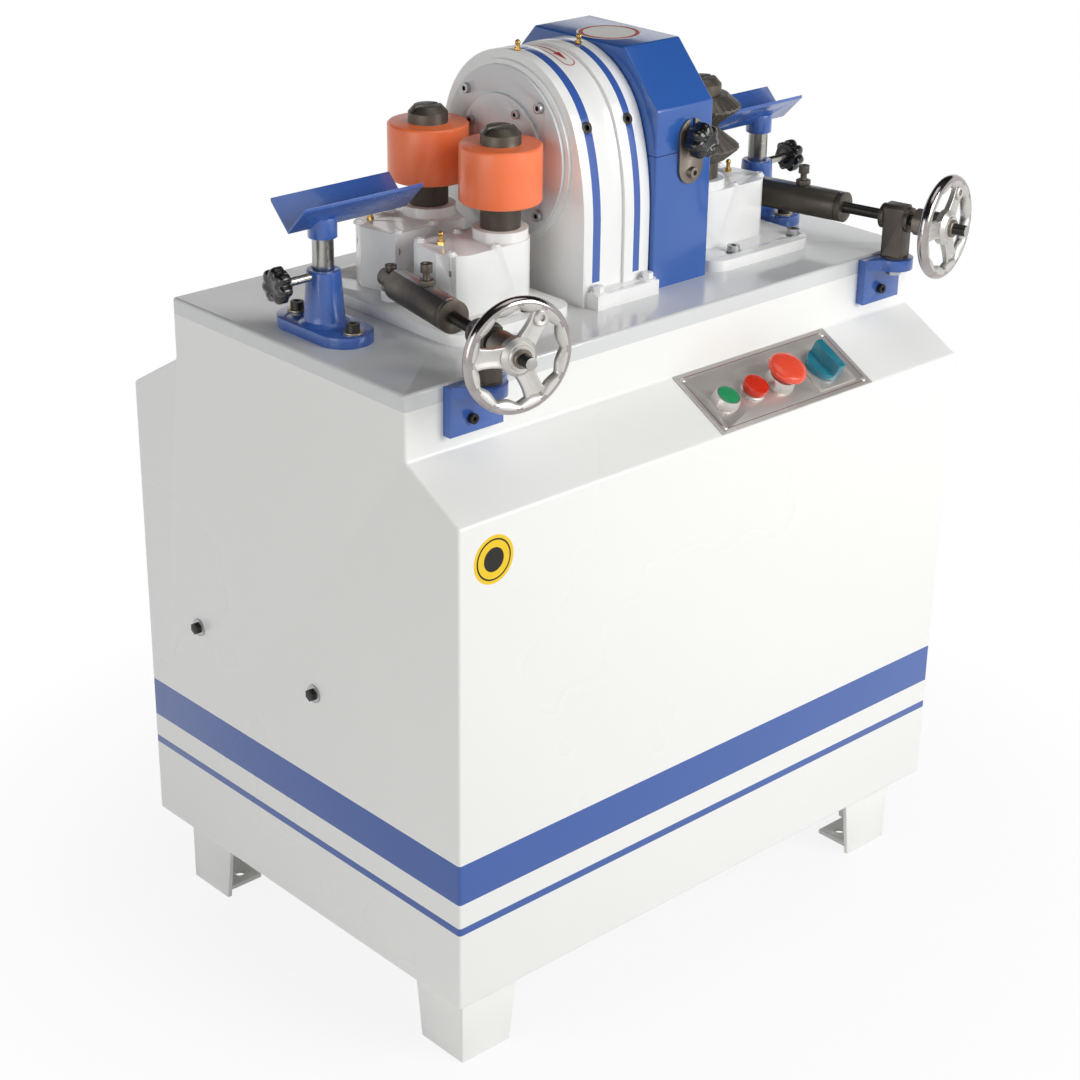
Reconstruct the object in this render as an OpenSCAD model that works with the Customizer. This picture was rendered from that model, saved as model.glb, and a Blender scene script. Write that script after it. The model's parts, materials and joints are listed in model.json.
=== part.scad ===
// Dowel making machine: square stock goes in on the right, a hollow spindle with knives turns it
// round, and a dowel leaves on the left. Built in millimetres, Z up, on the floor at Z = 0, with
// X along the front and Y to the back. The feed axis runs along X over the middle of the deck.

/* [Cabinet] */
// Width of the cabinet along the feed
cab_w = 850; // [780:5:950]
// Height of the four feet
foot_h = 107; // [80:1:140]
// Height of the cabinet's upright front
front_h = 622; // [560:1:660]
// Height of the deck above the cabinet's floor
deck_rise = 750; // [740:1:800]
// Depth of the deck, front to back
deck_d = 436; // [430:1:480]
// Reach of the cabinet in front of the deck
front_out = 89; // [70:1:110]
// Reach of the cabinet behind the deck
back_out = 95; // [60:1:110]
// Height of the slope behind the upright front
slope_rise = 49; // [35:1:60]
// Sheet thickness of the cabinet
sheet = 3; // [2:0.5:4]
// Thickness of the deck plate
deck_t = 20; // [16:1:24]
// How far the feet stand in from the cabinet's sides
foot_in = 30; // [10:1:50]
// Width of one side of a foot at its top
foot_w = 90; // [70:1:100]
// Thickness of a foot's plates
foot_t = 6; // [4:1:8]
// Radius of the anchor hole in a foot
anchor_r = 7; // [5:0.5:9]

/* [Door and panel] */
// Width of the rear door
door_w = 520; // [420:5:560]
// Height of the rear door
door_h = 400; // [320:5:440]
// Height of the door above the cabinet's floor
door_rise = 90; // [60:1:130]
// Thickness of the rear door
door_t = 2.5; // [2:0.5:4]
// Width of the control panel
panel_w = 270; // [240:5:300]
// Centre of the panel along X
panel_x = 122; // [60:1:160]
// Spacing of the lamp and the two buttons
control_pitch = 48; // [46:1:52]
// Distance of the start button from the panel's centre
start_out = 95; // [90:1:100]
// Distance of the selector from the panel's centre
selector_out = 80; // [78:1:90]
// Height of the controls up the panel
control_up = 44; // [40:1:52]
// Radius of a control's hole in the panel
control_r = 11.2; // [10:0.1:12]
// Travel of the start button
start_travel = 4; // [3:0.5:5]
// Travel of the stop button
stop_travel = 6; // [4:0.5:8]

/* [Cutter head] */
// Height of the feed axis above the deck
axis_rise = 165; // [160:1:180]
// Radius of the head's ribs
rib_r = 120; // [116:1:126]
// Depth of the head casting below its ribs
web_drop = 4; // [3:1:10]
// Bore of the hollow spindle, as a radius
spindle_bore_r = 30; // [26:0.5:32]
// Radius of the spindle in its bearings
spindle_r = 40; // [38:0.5:42]
// Outer radius of the spindle bearings
bearing_r = 62.5; // [60:0.5:64]
// Width of a spindle bearing
bearing_w = 22; // [18:1:26]
// Radius of the dowel that the knives leave
dowel_r = 15; // [12:0.5:16]
// Radius of the outer cover
cover_r = 103; // [98:1:106]
// Radius of the bearing cap
cap_r = 70; // [67:1:74]
// Radius of the spindle pulley
pulley_r = 66; // [60:1:72]
// Number of V belts
belt_n = 3; // [2:1:3]
// Pitch of the belt grooves
belt_pitch = 12; // [11:0.5:12]

/* [Hood] */
// Width of the belt hood along X
hood_w = 95; // [90:1:98]
// Half the depth of the hood
hood_half = 138; // [132:1:144]
// Half the depth of the hood's flat top
hood_top_half = 78; // [70:1:90]
// Height of the hood above the feed axis
hood_rise = 121; // [118:1:128]
// Height above the feed axis at which the hood's slopes start
hood_shoulder = 55; // [50:1:70]
// Wall of the hood
hood_wall = 3; // [2:0.5:4]

/* [Feeders] */
// Distance from the head's centre plane to the outfeed rollers
left_roller_x = 152; // [150:1:170]
// Distance from the head's centre plane to the infeed rollers
right_roller_x = 182; // [180:1:190]
// Distance of each roller from the feed axis
roller_y = 65; // [64:0.5:68]
// Distance from the arm's pivot to its roller
arm_len = 70; // [64:1:76]
// Radius of the polyurethane outfeed rollers
soft_roller_r = 49; // [44:0.5:50]
// Radius of the serrated infeed rollers at their flares
spike_roller_r = 49.5; // [44:0.5:50]
// Radius of the serrated rollers at their waist
spike_waist_r = 21; // [19:0.5:26]
// Height of the outfeed rollers
soft_roller_h = 68; // [60:1:72]
// Height of the infeed rollers
spike_roller_h = 82; // [76:1:84]
// Thickness of the feeder bases
base_t = 14; // [12:1:18]
// Height of a feeder gear case
case_h = 74; // [70:1:78]
// Reach of a case to the feed side of its axis
case_in = 48; // [46:1:49]
// Reach of a case to the outer side of its axis
case_out = 35; // [33:1:38]
// Wall of a gear case
case_wall = 6; // [5:0.5:6]
// Radius of the boss under a roller
boss_r = 33; // [32:0.5:34]
// Radius of the roller spindle
roller_shaft_r = 12.5; // [11:0.5:14]

/* [Pressure screws] */
// Distance of the post from the left end of the deck
post_in_l = 98; // [90:1:105]
// Distance of the post from the right end of the deck
post_in_r = 59; // [56:1:66]
// Reach of the post in front of the deck
post_out = 22; // [20:1:26]
// Height of the tube's axis above the deck
tube_rise = 50; // [46:1:56]
// Angle between the tube and the Y axis
tube_turn = 12; // [8:1:13]
// Outer radius of the spring tube
tube_r = 19.5; // [18:0.5:21]
// Radius of the threaded rod
rod_r = 7; // [6:0.5:8]
// Outer radius of the handwheel
wheel_r = 66; // [58:1:68]
// Radius of the handwheel's rim section
rim_r = 7; // [6:0.5:8]
// Distance of the handwheel from the post's axis
wheel_out = 66; // [62:1:72]

/* [Troughs] */
// Distance of the trough's rod from the end of the deck
trough_in = 62; // [58:1:66]
// Length of a trough
trough_len = 171; // [150:1:180]
// Distance of a trough's outer end from the end of the deck
trough_gap = 14; // [8:1:24]
// Half the width of a trough's mouth
trough_half = 31; // [26:1:34]
// Thickness of a trough's plates
trough_t = 3; // [2.5:0.5:5]
// Radius of the trough's rod
trough_rod_r = 12.5; // [11:0.5:14]
// Height of the trough's post above the deck
post_h = 76; // [70:1:80]

/* [Hidden] */
$fn = 64;
// Running clearance of a shaft in its hole, and the free gap between parts that pass each other
fit = 0.05;
free = 0.4;
hull_fn = 32;

cab_z = foot_h;
deck_z = cab_z + deck_rise;
axis_z = deck_z + axis_rise;
deck_half = deck_d / 2;
front_y = -deck_half - front_out;
back_y = deck_half + back_out;
crease_z = cab_z + front_h;
slope_top_z = crease_z + slope_rise;
back_slope_top_z = slope_top_z;
back_crease_z = back_slope_top_z - 55;
slope_a = atan2(slope_rise, front_out);
slope_len = norm([slope_rise, front_out]);
under_z = deck_z - deck_t;

// Stations of the cutter head along X
drum_x0 = -85;
cap_t = 5;
cover_t = 5;
core_x0 = -80;
rib1_x0 = core_x0;
rib_w = 33;
rib2_x0 = -13;
rib2_w = 41;
head_x1 = rib2_x0 + rib2_w;
core_r = rib_r - web_drop;
drum_r = rib_r - 11;
head_half = rib_r + 12;
foot_reach = 152;
head_foot_t = 18;
hood_x0 = head_x1 + 2;
hood_x1 = hood_x0 + hood_w;
bearing_x = [drum_x0 + 1, head_x1 - 9 - bearing_w];
pulley_x0 = hood_x0 + hood_wall + 3;
pulley_w = belt_n * belt_pitch + 4;
block_x0 = pulley_x0 + pulley_w + 2;
block_x1 = hood_x1 - hood_wall - 4;
block_r = 60;
knife_n = 4;
knife_t = 4;
groove_d = 8;
motor_pulley_r = 50;
motor_r = 92;
motor_axis_h = 112;
motor_z = cab_z + sheet + motor_axis_h;
motor_len = 230;

// Feeders: s is -1 on the left and 1 on the right, and b is -1 at the front and 1 at the back
function roller_x(s) = s < 0 ? -left_roller_x : right_roller_x;
function pivot_x(s) = roller_x(s) + s * arm_len;
base_out = 66;
base_in = 118;
base_half = 146;
case_tail = 32;
case_z = deck_z + base_t;
case_top = case_z + case_h;
boss_z = case_top + 12;
sleeve_r = 19;
pin_r = 12;
sprocket_r = 19;
drive_gear_r = roller_y;
sector_z = under_z - 16;
drive_gear_z = sector_z - 14;
gear_t = 8;
gear_teeth = 26;
gear_module = 2 * drive_gear_r / gear_teeth;

// Pressure screws
post_y = -deck_half - post_out;
function post_x(s) = s < 0 ? -cab_w / 2 + post_in_l : cab_w / 2 - post_in_r;
tube_z = deck_z + tube_rise;
neck_end = 240;
tube_start = 75;
tube_end = 205;
neck_r = 11;
eye_at = neck_end - 14;
rod_tip = wheel_out + 30;
hub_r = 17;
hub_gap = 7;
spoke_turn = -55;

// Troughs
trough_x = cab_w / 2 - trough_in;
trough_z = axis_z - 35;
trough_base_t = 13;
clamp_z = deck_z + post_h - 6;

// The drawing is moved so that the middle of its box lies at X = 0 and Y = 0
door_stand = 2;
handle_out = 20;
front_reach = -post_y + rod_tip * cos(tube_turn) + rod_r * sin(tube_turn);
back_reach = back_y + door_stand + door_t + handle_out;
mid_y = (back_reach - front_reach) / 2;
wheel_side = wheel_out * sin(tube_turn) + (wheel_r - rim_r) * cos(tube_turn) + rim_r;
knob_in = 55;
knob_reach = 75;
left_reach = max(trough_x + knob_reach, wheel_side - post_x(-1));
right_reach = max(trough_x + knob_reach, wheel_side + post_x(1));
mid_x = (right_reach - left_reach) / 2;

module placed() { translate([-mid_x, -mid_y, 0]) children(); }

// A flat outline in Y and Z, run along X
module along_x(x0, x1) {
  translate([x0, 0, 0]) rotate([90, 0, 90]) linear_extrude(x1 - x0) children();
}

// A round bar along X on the feed axis
module axis_bar(x0, x1, r) {
  translate([x0, 0, axis_z]) rotate([0, 90, 0]) cylinder(r = r, h = x1 - x0);
}

module ring_bar(x0, x1, r, hole) {
  difference() {
    axis_bar(x0, x1, r);
    axis_bar(x0 - 1, x1 + 1, hole);
  }
}

// A socket cap screw standing on the origin, head up
module cap_screw(r, h, shank) {
  difference() {
    union() {
      cylinder(r = r, h = h);
      translate([0, 0, -shank]) cylinder(r = r * 0.6, h = shank + 1);
    }
    translate([0, 0, h * 0.4]) cylinder(r = r * 0.5, h = h, $fn = 6);
  }
}

module hex_head(r, h) { cylinder(r = r, h = h, $fn = 6); }

module washer(r, hole, t) {
  difference() {
    cylinder(r = r, h = t);
    translate([0, 0, -1]) cylinder(r = hole, h = t + 2);
  }
}

// An outline with round ends, along X from a to b
module slot_2d(a, b, r) {
  translate([a, 0]) circle(r = r);
  translate([b, 0]) circle(r = r);
  translate([a, -r]) square([b - a, 2 * r]);
}

module round_plate_2d(x0, x1, half, r) {
  translate([x0 + r, -half]) square([x1 - x0 - 2 * r, 2 * half]);
  translate([x0, -half + r]) square([x1 - x0, 2 * half - 2 * r]);
  for (x = [x0 + r, x1 - r], y = [-half + r, half - r]) translate([x, y]) circle(r = r);
}

// Seven round lobes on a hub, the grip of a clamp knob
module star_grip(r, h) {
  lobe_r = r * 0.3;
  difference() {
    union() {
      cylinder(r = r * 0.78, h = h);
      for (i = [0:6]) rotate(i * 360 / 7) translate([r - lobe_r, 0, 0]) cylinder(r = lobe_r, h = h);
    }
    translate([0, 0, h - 3]) cylinder(r = r * 0.35, h = 4);
  }
}

// Cabinet

module cabinet_outline(g, top) {
  lean = g * tan(slope_a) - g / cos(slope_a);
  back_a = atan2(back_slope_top_z - back_crease_z, back_out);
  back_lean = g * tan(back_a) - g / cos(back_a);
  corner_lean = g / cos(slope_a) - g * tan(slope_a);
  polygon([
    [front_y + g, cab_z + g],
    [front_y + g, crease_z + lean],
    [-deck_half + g, slope_top_z - corner_lean],
    [-deck_half + g, top],
    [deck_half - g, top],
    [deck_half - g, back_slope_top_z + back_lean],
    [back_y - g, back_crease_z + back_lean],
    [back_y - g, cab_z + g]
  ]);
}

// Places children on the sloping front, X along the panel and Y up the slope, Z outwards
module on_slope(x, u) {
  translate([x, front_y, crease_z]) rotate([slope_a, 0, 0]) translate([0, u, 0]) children();
}

function control_x(i) = i == 3 ? panel_x + selector_out : panel_x - start_out + i * control_pitch;
door_z = cab_z + door_rise;
lip = 12;

// The cabinet's sheets meet at hairline seams, which are welded and ground flush on the real one
seam = 0.05;

// One sheet: what lies between a station and the next along the outline's wall
module sheet_run(y0, y1, z0, z1) {
  intersection() {
    along_x(-cab_w / 2 + sheet + seam, cab_w / 2 - sheet - seam) difference() {
      cabinet_outline(0, under_z);
      cabinet_outline(sheet, under_z + 5);
    }
    translate([-cab_w / 2, y0, z0]) cube([cab_w, y1 - y0, z1 - z0]);
  }
}

module cabinet_body() {
  color("white") placed() difference() {
    union() {
      for (s = [-1, 1]) along_x(s < 0 ? -cab_w / 2 : cab_w / 2 - sheet, s < 0 ? sheet - cab_w / 2 : cab_w / 2)
        cabinet_outline(0, under_z);
      sheet_run(front_y - 1, back_y + 1, cab_z - 1, cab_z + sheet - seam);
      sheet_run(front_y - 1, front_y + sheet, cab_z + sheet, crease_z - seam);
      sheet_run(front_y - 1, -deck_half - seam, crease_z, slope_top_z + sheet);
      sheet_run(-deck_half, 0, crease_z, under_z + 1);
      sheet_run(back_y - sheet, back_y + 1, cab_z + sheet, back_crease_z - seam);
      sheet_run(deck_half + seam, back_y + 1, back_crease_z, back_slope_top_z + sheet);
      sheet_run(0, deck_half, back_crease_z, under_z + 1);
    }
    translate([-door_w / 2 + lip, back_y - 10, door_z + lip]) cube([door_w - 2 * lip, 20, door_h - 2 * lip]);
    for (i = [0:3]) on_slope(control_x(i), control_up)
      translate([0, 0, -10]) cylinder(r = control_r + 3, h = 20);
    translate([cab_w / 2 - 10, back_y - 120, cab_z + 60]) rotate([0, 90, 0]) cylinder(r = 10, h = 20);
  }
}

belt_slot_half = pulley_r + 6;

module deck_plate() {
  color("gainsboro") placed() difference() {
    translate([-cab_w / 2, -deck_half, under_z]) cube([cab_w, deck_d, deck_t]);
    translate([hood_x0 + hood_wall, -belt_slot_half, under_z - 1])
      cube([block_x0 - hood_x0 - hood_wall, 2 * belt_slot_half, deck_t + 2]);
    for (s = [-1, 1], b = [-1, 1]) translate([pivot_x(s), b * roller_y, under_z - 1])
      cylinder(r = sleeve_r + 1, h = deck_t + 2);
  }
}

module foot() {
  taper = 14;
  difference() {
    union() {
      translate([0, foot_t, 0]) rotate([90, 0, 0]) linear_extrude(foot_t)
        polygon([[0, 0], [foot_w - taper, 0], [foot_w, foot_h], [0, foot_h]]);
      along_x(0, foot_t) polygon([[0, 0], [foot_w - taper, 0], [foot_w, foot_h], [0, foot_h]]);
      cube([foot_w - taper - 12, foot_w - taper - 12, foot_t]);
    }
    translate([foot_w / 2 - 2, foot_w / 2 - 2, -1]) cylinder(r = anchor_r, h = foot_t + 2);
  }
}

module feet() {
  x = cab_w / 2 - foot_in;
  color("white") placed() for (sx = [0, 1], sy = [0, 1])
    translate([sx == 0 ? -x : x, sy == 0 ? front_y + foot_in : back_y - foot_in, 0])
      mirror([sx, 0, 0]) mirror([0, sy, 0]) foot();
}

// Controls

panel_t = 2;
panel_margin = 1.5;

module panel_screw() {
  intersection() {
    translate([0, 0, -4.5]) sphere(r = 6);
    cylinder(r = 4, h = 3);
  }
}

bezel_r = 18;
bezel_h = 12;
cup_r = 14;
cup_floor = 4;
selector_half = 32;

// A ring round a control, with a cup for the cap of a button where cup is given
module bezel(r, h, cup) {
  rotate_extrude() polygon([
    [control_r, 0], [r, 0], [r, h * 0.5], [r - 2.5, h], [cup, h], [cup, cup_floor], [control_r, cup_floor]
  ]);
}

module control_panel() {
  color("silver") placed() {
    difference() {
      on_slope(panel_x - panel_w / 2, panel_margin) cube([panel_w, slope_len - 2 * panel_margin, panel_t]);
      for (i = [0:3]) on_slope(control_x(i), control_up)
        translate([0, 0, -1]) cylinder(r = control_r, h = panel_t + 2);
    }
    for (x = [-1, 1], u = [10, slope_len - 10])
      on_slope(panel_x + x * (panel_w / 2 - 10), u) translate([0, 0, panel_t]) panel_screw();
    on_slope(control_x(0), control_up) translate([0, 0, panel_t]) bezel(bezel_r, bezel_h, cup_r);
    on_slope(control_x(1), control_up) translate([0, 0, panel_t]) bezel(bezel_r - 2, cup_floor + 1, control_r);
    on_slope(control_x(2), control_up) translate([0, 0, panel_t]) bezel(bezel_r + 1, bezel_h + 1, control_r);
    difference() {
      on_slope(control_x(3), control_up) translate([-selector_half, -selector_half, panel_t])
        cube([2 * selector_half, 2 * selector_half, 3]);
      on_slope(control_x(3), control_up) cylinder(r = control_r, h = 10);
    }
  }
}

module power_lamp() {
  color("red") placed() on_slope(control_x(1), control_up) {
    translate([0, 0, panel_t + cup_floor + 1]) cylinder(r = bezel_r - 2, h = 10);
    translate([0, 0, -30]) cylinder(r = control_r - 0.2, h = 31 + panel_t + cup_floor);
  }
}

module start_button() {
  color("green") placed() on_slope(control_x(0), control_up) {
    translate([0, 0, -24]) cylinder(r = control_r - free, h = 24 + panel_t + bezel_h);
    translate([0, 0, panel_t + cup_floor + start_travel + free]) cylinder(r = cup_r - free, h = 4);
  }
}

module stop_button() {
  color("orangered") placed() on_slope(control_x(2), control_up) {
    top = panel_t + bezel_h + 2 + stop_travel;
    translate([0, 0, -24]) cylinder(r = control_r - free, h = 25 + top);
    translate([0, 0, top]) rotate_extrude()
      polygon([[0, 0], [20, 0], [25, 3.5], [25, 7], [22.5, 10.5], [15, 13], [0, 14]]);
  }
}

module selector_knob() {
  face = panel_t + 3 + free;
  color("teal") placed() on_slope(control_x(3), control_up) {
    translate([0, 0, -24]) cylinder(r = control_r - free, h = 24 + face + 1);
    translate([0, 0, face]) cylinder(r = 24, h = 8);
    intersection() {
      translate([-6, -24, face + 7]) cube([12, 48, 17]);
      translate([0, 0, face]) cylinder(r = 24, h = 40);
    }
  }
}

// Rear door

hinge_x = -door_w / 2 - 6;
hinge_y = back_y + door_stand + 5;

module rear_door() {
  color("white") placed() difference() {
    union() {
      translate([-door_w / 2, back_y + door_stand, door_z]) cube([door_w, door_t, door_h]);
      for (k = [0.15, 0.8]) translate([hinge_x, hinge_y, door_z + k * door_h]) {
        cylinder(r = 4, h = 34);
        translate([0, -hinge_y + back_y + door_stand, 0]) cube([12, door_t, 34]);
        translate([-0.5, -3, 0]) cube([4, 3, 34]);
      }
    }
    for (k = [0.15, 0.8]) translate([hinge_x, hinge_y, door_z + k * door_h - 1]) cylinder(r = 2, h = 36);
    translate([door_w / 2 - 36, back_y, door_z + door_h / 2]) rotate([-90, 0, 0]) cylinder(r = 8 + fit, h = 20);
    for (i = [0:9]) translate([-110 + i * 24, back_y, door_z + 60]) vent_slit();
  }
}

module vent_slit() { cube([8, 20, 60]); }

module door_handle() {
  color("dimgray") placed() translate([door_w / 2 - 36, back_y + door_stand + door_t, door_z + door_h / 2])
    rotate([-90, 0, 0]) {
      translate([0, 0, -door_t - 0.8]) cylinder(r = 8, h = door_t + 1);
      translate([0, 0, 0.2]) cylinder(r = 14, h = 7);
      hull() for (y = [-26, 26]) translate([0, y, 7]) cylinder(r = 5, h = handle_out - 7, $fn = hull_fn);
    }
}

module door_hinge_seat() {
  for (k = [0.15, 0.8]) translate([hinge_x, hinge_y, door_z + k * door_h]) {
    translate([0, 0, -12]) cylinder(r = 2 - fit, h = 44);
    translate([0, 0, -12.3]) cylinder(r = 4, h = 12);
    translate([-12, -hinge_y + back_y, -12.3]) cube([12, 4, 12]);
    translate([-3, -4, -12.3]) cube([3, 4, 12]);
  }
}

// Cutter head

// The head's flank: it leaves the round top at an angle and runs smoothly into an upright wall
flank_lean = 20;
flank_end = -75;
function flank(r, half) =
  let (start = [r * cos(flank_lean), r * sin(flank_lean)],
       bend = [half, start[1] - (half - start[0]) / tan(flank_lean)],
       end = [half, flank_end])
  [for (i = [0:8]) let (t = i / 8) (1 - t) * (1 - t) * start + 2 * t * (1 - t) * bend + t * t * end];

module head_outline(r, half) {
  circle(r = r);
  for (m = [0, 1]) mirror([m, 0]) polygon(concat(flank(r, half), [[half, -axis_rise], [0, -axis_rise], [0, 0]]));
}

module head_slab(x0, x1, r, half) {
  translate([0, 0, axis_z]) along_x(x0, x1) head_outline(r, half);
}

// Places children on a circle round the feed axis, pointing away from the head to the left
module round_axis(x, r, start, n) {
  for (i = [0:n - 1]) translate([x, r * cos(start + i * 360 / n), axis_z + r * sin(start + i * 360 / n)])
    rotate([0, -90, 0]) children();
}

cover_x = drum_x0 - cover_t;
cap_x = cover_x - cap_t;
module at_cover_screws() { round_axis(cover_x, cover_r - 11.5, 45, 4) children(); }
module at_cap_screws() { round_axis(cap_x, cap_r - 11, 30, 4) children(); }

set_turn = 22.3;
module at_set_screws() {
  for (x = [rib1_x0 + 21, rib2_x0 + 20]) translate([x, 0, axis_z])
    rotate([90 - set_turn, 0, 0]) translate([0, 0, rib_r - 8]) children();
}

module at_foot_bolts() {
  for (x = [-64, head_x1 - 10], y = [-1, 1]) translate([x, y * (foot_reach - 10), deck_z + head_foot_t]) children();
}

shank_gap = 0.1;
module shank_hole(r, depth) { translate([0, 0, -depth]) cylinder(r = r * 0.6 + shank_gap, h = depth + 1); }

nipple_spots = [[rib1_x0 + 7, -5, rib_r], [rib2_x0 + 24, -20, rib_r]];
module at_head_nipples() {
  for (p = nipple_spots) translate([p[0], 0, axis_z]) rotate([asin(-p[1] / p[2]), 0, 0])
    translate([0, 0, p[2] + 0.1]) children();
}

module head_housing() {
  color("whitesmoke") placed() difference() {
    union() {
      head_slab(core_x0, head_x1, core_r, head_half - web_drop);
      head_slab(rib1_x0, rib1_x0 + rib_w, rib_r, head_half);
      head_slab(rib2_x0, head_x1, rib_r, head_half);
      axis_bar(drum_x0, core_x0 + 1, drum_r);
      translate([-74, -foot_reach, deck_z]) cube([head_x1 + 74, 2 * foot_reach, head_foot_t]);
    }
    axis_bar(drum_x0 - 1, bearing_x[0] + bearing_w, bearing_r);
    axis_bar(bearing_x[0] + bearing_w - 1, bearing_x[1] + 1, bearing_r - 4);
    axis_bar(bearing_x[1], bearing_x[1] + bearing_w, bearing_r);
    axis_bar(bearing_x[1], head_x1 + 1, spindle_r + 6);
    translate([core_x0 + 14, -90, deck_z - 1]) cube([head_x1 - core_x0 - 28, 180, axis_rise - 90]);
    at_cover_screws() shank_hole(6.5, 22);
    at_set_screws() translate([0, 0, -1]) cylinder(r = 7.2, h = 20);
    at_foot_bolts() shank_hole(7, head_foot_t + 1);
    at_head_nipples() translate([0, 0, -7]) cylinder(r = 3, h = 20);
  }
}

module head_cover() {
  color("lightgray") placed() difference() {
    ring_bar(cover_x, drum_x0, cover_r, bearing_r - 4);
    at_cover_screws() shank_hole(6.5, 10);
    at_cap_screws() shank_hole(5.5, 20);
  }
}

module bearing_cap() {
  color("lightgray") placed() difference() {
    axis_bar(cap_x, cover_x, cap_r);
    axis_bar(cap_x - 1, cover_x + 1, dowel_r + 0.5);
    at_cap_screws() shank_hole(5.5, 10);
  }
}

module spindle_bearings() {
  ball_r = 6;
  mid_r = (bearing_r + spindle_r) / 2;
  color("silver") placed() for (x = bearing_x) {
    ring_bar(x, x + bearing_w, bearing_r, mid_r + 4);
    ring_bar(x, x + bearing_w, mid_r - 4, spindle_r + fit);
    difference() {
      ring_bar(x + 3, x + 6, mid_r + 4, mid_r - 4);
      axis_bar(x - 1, x + 1, mid_r);
    }
  }
}

module spindle() {
  color("dimgray") placed() difference() {
    union() {
      axis_bar(drum_x0 + 1, block_x0, spindle_r);
      axis_bar(block_x0, block_x1, block_r);
    }
    axis_bar(drum_x0, block_x1 + 1, spindle_bore_r);
    for (i = [0:knife_n - 1]) knife(i);
  }
}

module knife(i) {
  translate([(block_x0 + block_x1) / 2, 0, axis_z]) rotate([i * 360 / knife_n, 0, 0])
    translate([-10, -knife_t / 2, dowel_r]) cube([20, knife_t, block_r - dowel_r - 6]);
}

module cutter_knives() { color("lightsteelblue") placed() for (i = [0:knife_n - 1]) knife(i); }

function groove_x(x0, i) = x0 + 2 + (i + 0.5) * belt_pitch;
belt_w = 8;
belt_h = 7;

module belt_pulley(z, r, bore) {
  translate([0, 0, z - axis_z]) difference() {
    axis_bar(pulley_x0, pulley_x0 + pulley_w, r);
    axis_bar(pulley_x0 - 1, pulley_x0 + pulley_w + 1, bore);
    for (i = [0:belt_n - 1]) {
      x = groove_x(pulley_x0, i);
      ring_bar(x - belt_w / 2 - free, x + belt_w / 2 + free, r + 1, r - groove_d);
    }
  }
}

module spindle_pulley() { color("dimgray") placed() belt_pulley(axis_z, pulley_r, spindle_r); }

// The outline of two circles of unlike size and the two lines that touch both
module belt_2d(r1, r2, d) {
  a = asin((r1 - r2) / d);
  circle(r = r1);
  translate([0, -d]) circle(r = r2);
  polygon([
    [-r1 * cos(a), r1 * sin(a)], [r1 * cos(a), r1 * sin(a)],
    [r2 * cos(a), -d + r2 * sin(a)], [-r2 * cos(a), -d + r2 * sin(a)]
  ]);
}

module drive_belts() {
  seat = groove_d - free;
  d = axis_z - motor_z;
  color("black") placed() for (i = [0:belt_n - 1]) {
    x = groove_x(pulley_x0, i);
    translate([0, 0, axis_z]) along_x(x - belt_w / 2, x + belt_w / 2) difference() {
      belt_2d(pulley_r - seat + belt_h, motor_pulley_r - seat + belt_h, d);
      belt_2d(pulley_r - seat, motor_pulley_r - seat, d);
    }
  }
}

motor_shaft_r = 14;
motor_x1 = pulley_x0 - 12;
motor_x0 = motor_x1 - motor_len;

module motor_pulley() {
  color("dimgray") placed() {
    belt_pulley(motor_z, motor_pulley_r, motor_shaft_r);
    translate([0, 0, motor_z - axis_z]) axis_bar(motor_x0 + 30, pulley_x0 + pulley_w + 3, motor_shaft_r);
  }
}

module main_motor() {
  color("slategray") placed() difference() {
    translate([0, 0, motor_z - axis_z]) union() {
      axis_bar(motor_x0 + 25, motor_x1 - 25, motor_r);
      axis_bar(motor_x1 - 26, motor_x1, motor_r - 10);
      axis_bar(motor_x0, motor_x0 + 26, motor_r - 6);
      translate([motor_x0 + 60, -motor_r - 6, axis_z - motor_axis_h]) cube([motor_len - 120, 2 * motor_r + 12, 12]);
      for (y = [-1, 1]) translate([motor_x0 + 60, y * (motor_r - 20) - 14, axis_z - motor_axis_h])
        cube([motor_len - 120, 28, motor_axis_h - 40]);
      translate([motor_x0 + 70, -45, axis_z + motor_r - 8]) cube([90, 90, 48]);
    }
    translate([0, 0, motor_z - axis_z]) axis_bar(motor_x0 + 28, motor_x1 + 1, motor_shaft_r + fit);
  }
}

// One gear motor hangs under each front arm's drive shaft
gear_plate_z = drive_gear_z - 34;

module feed_gearmotor() {
  color("slategray") placed() for (s = [-1, 1]) translate([pivot_x(s), -roller_y, 0]) difference() {
    union() {
      translate([-80, -60, gear_plate_z]) cube([160, 120, 8]);
      for (x = [-72, 72], y = [-52, 52]) translate([x, y, gear_plate_z + 7])
        cylinder(r = 6, h = under_z - gear_plate_z - 7);
      translate([-45, -45, gear_plate_z - 70]) cube([90, 90, 70]);
      translate([0, 0, gear_plate_z - 230]) cylinder(r = 44, h = 161);
    }
    translate([0, 0, gear_plate_z - 40]) cylinder(r = pin_r + fit, h = 60);
  }
}

// Hood, of sheets like the cabinet

module hood_profile(g) {
  top = hood_rise - g;
  polygon([
    [-hood_half + g, 0], [-hood_half + g, hood_shoulder - g * 0.4], [-hood_top_half + g * 0.4, top],
    [hood_top_half - g * 0.4, top], [hood_half - g, hood_shoulder - g * 0.4], [hood_half - g, 0]
  ]);
}

// The two side plates of either half, open round the spindle and where the stock goes in
module hood_cheeks() {
  difference() {
    for (x = [hood_x0, hood_x1 - hood_wall]) along_x(x, x + hood_wall) children();
    axis_bar(hood_x0 - 1, hood_x0 + hood_wall + 1, spindle_r + 12);
    axis_bar(hood_x1 - hood_wall - 1, hood_x1 + 1, spindle_bore_r);
  }
}

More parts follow.
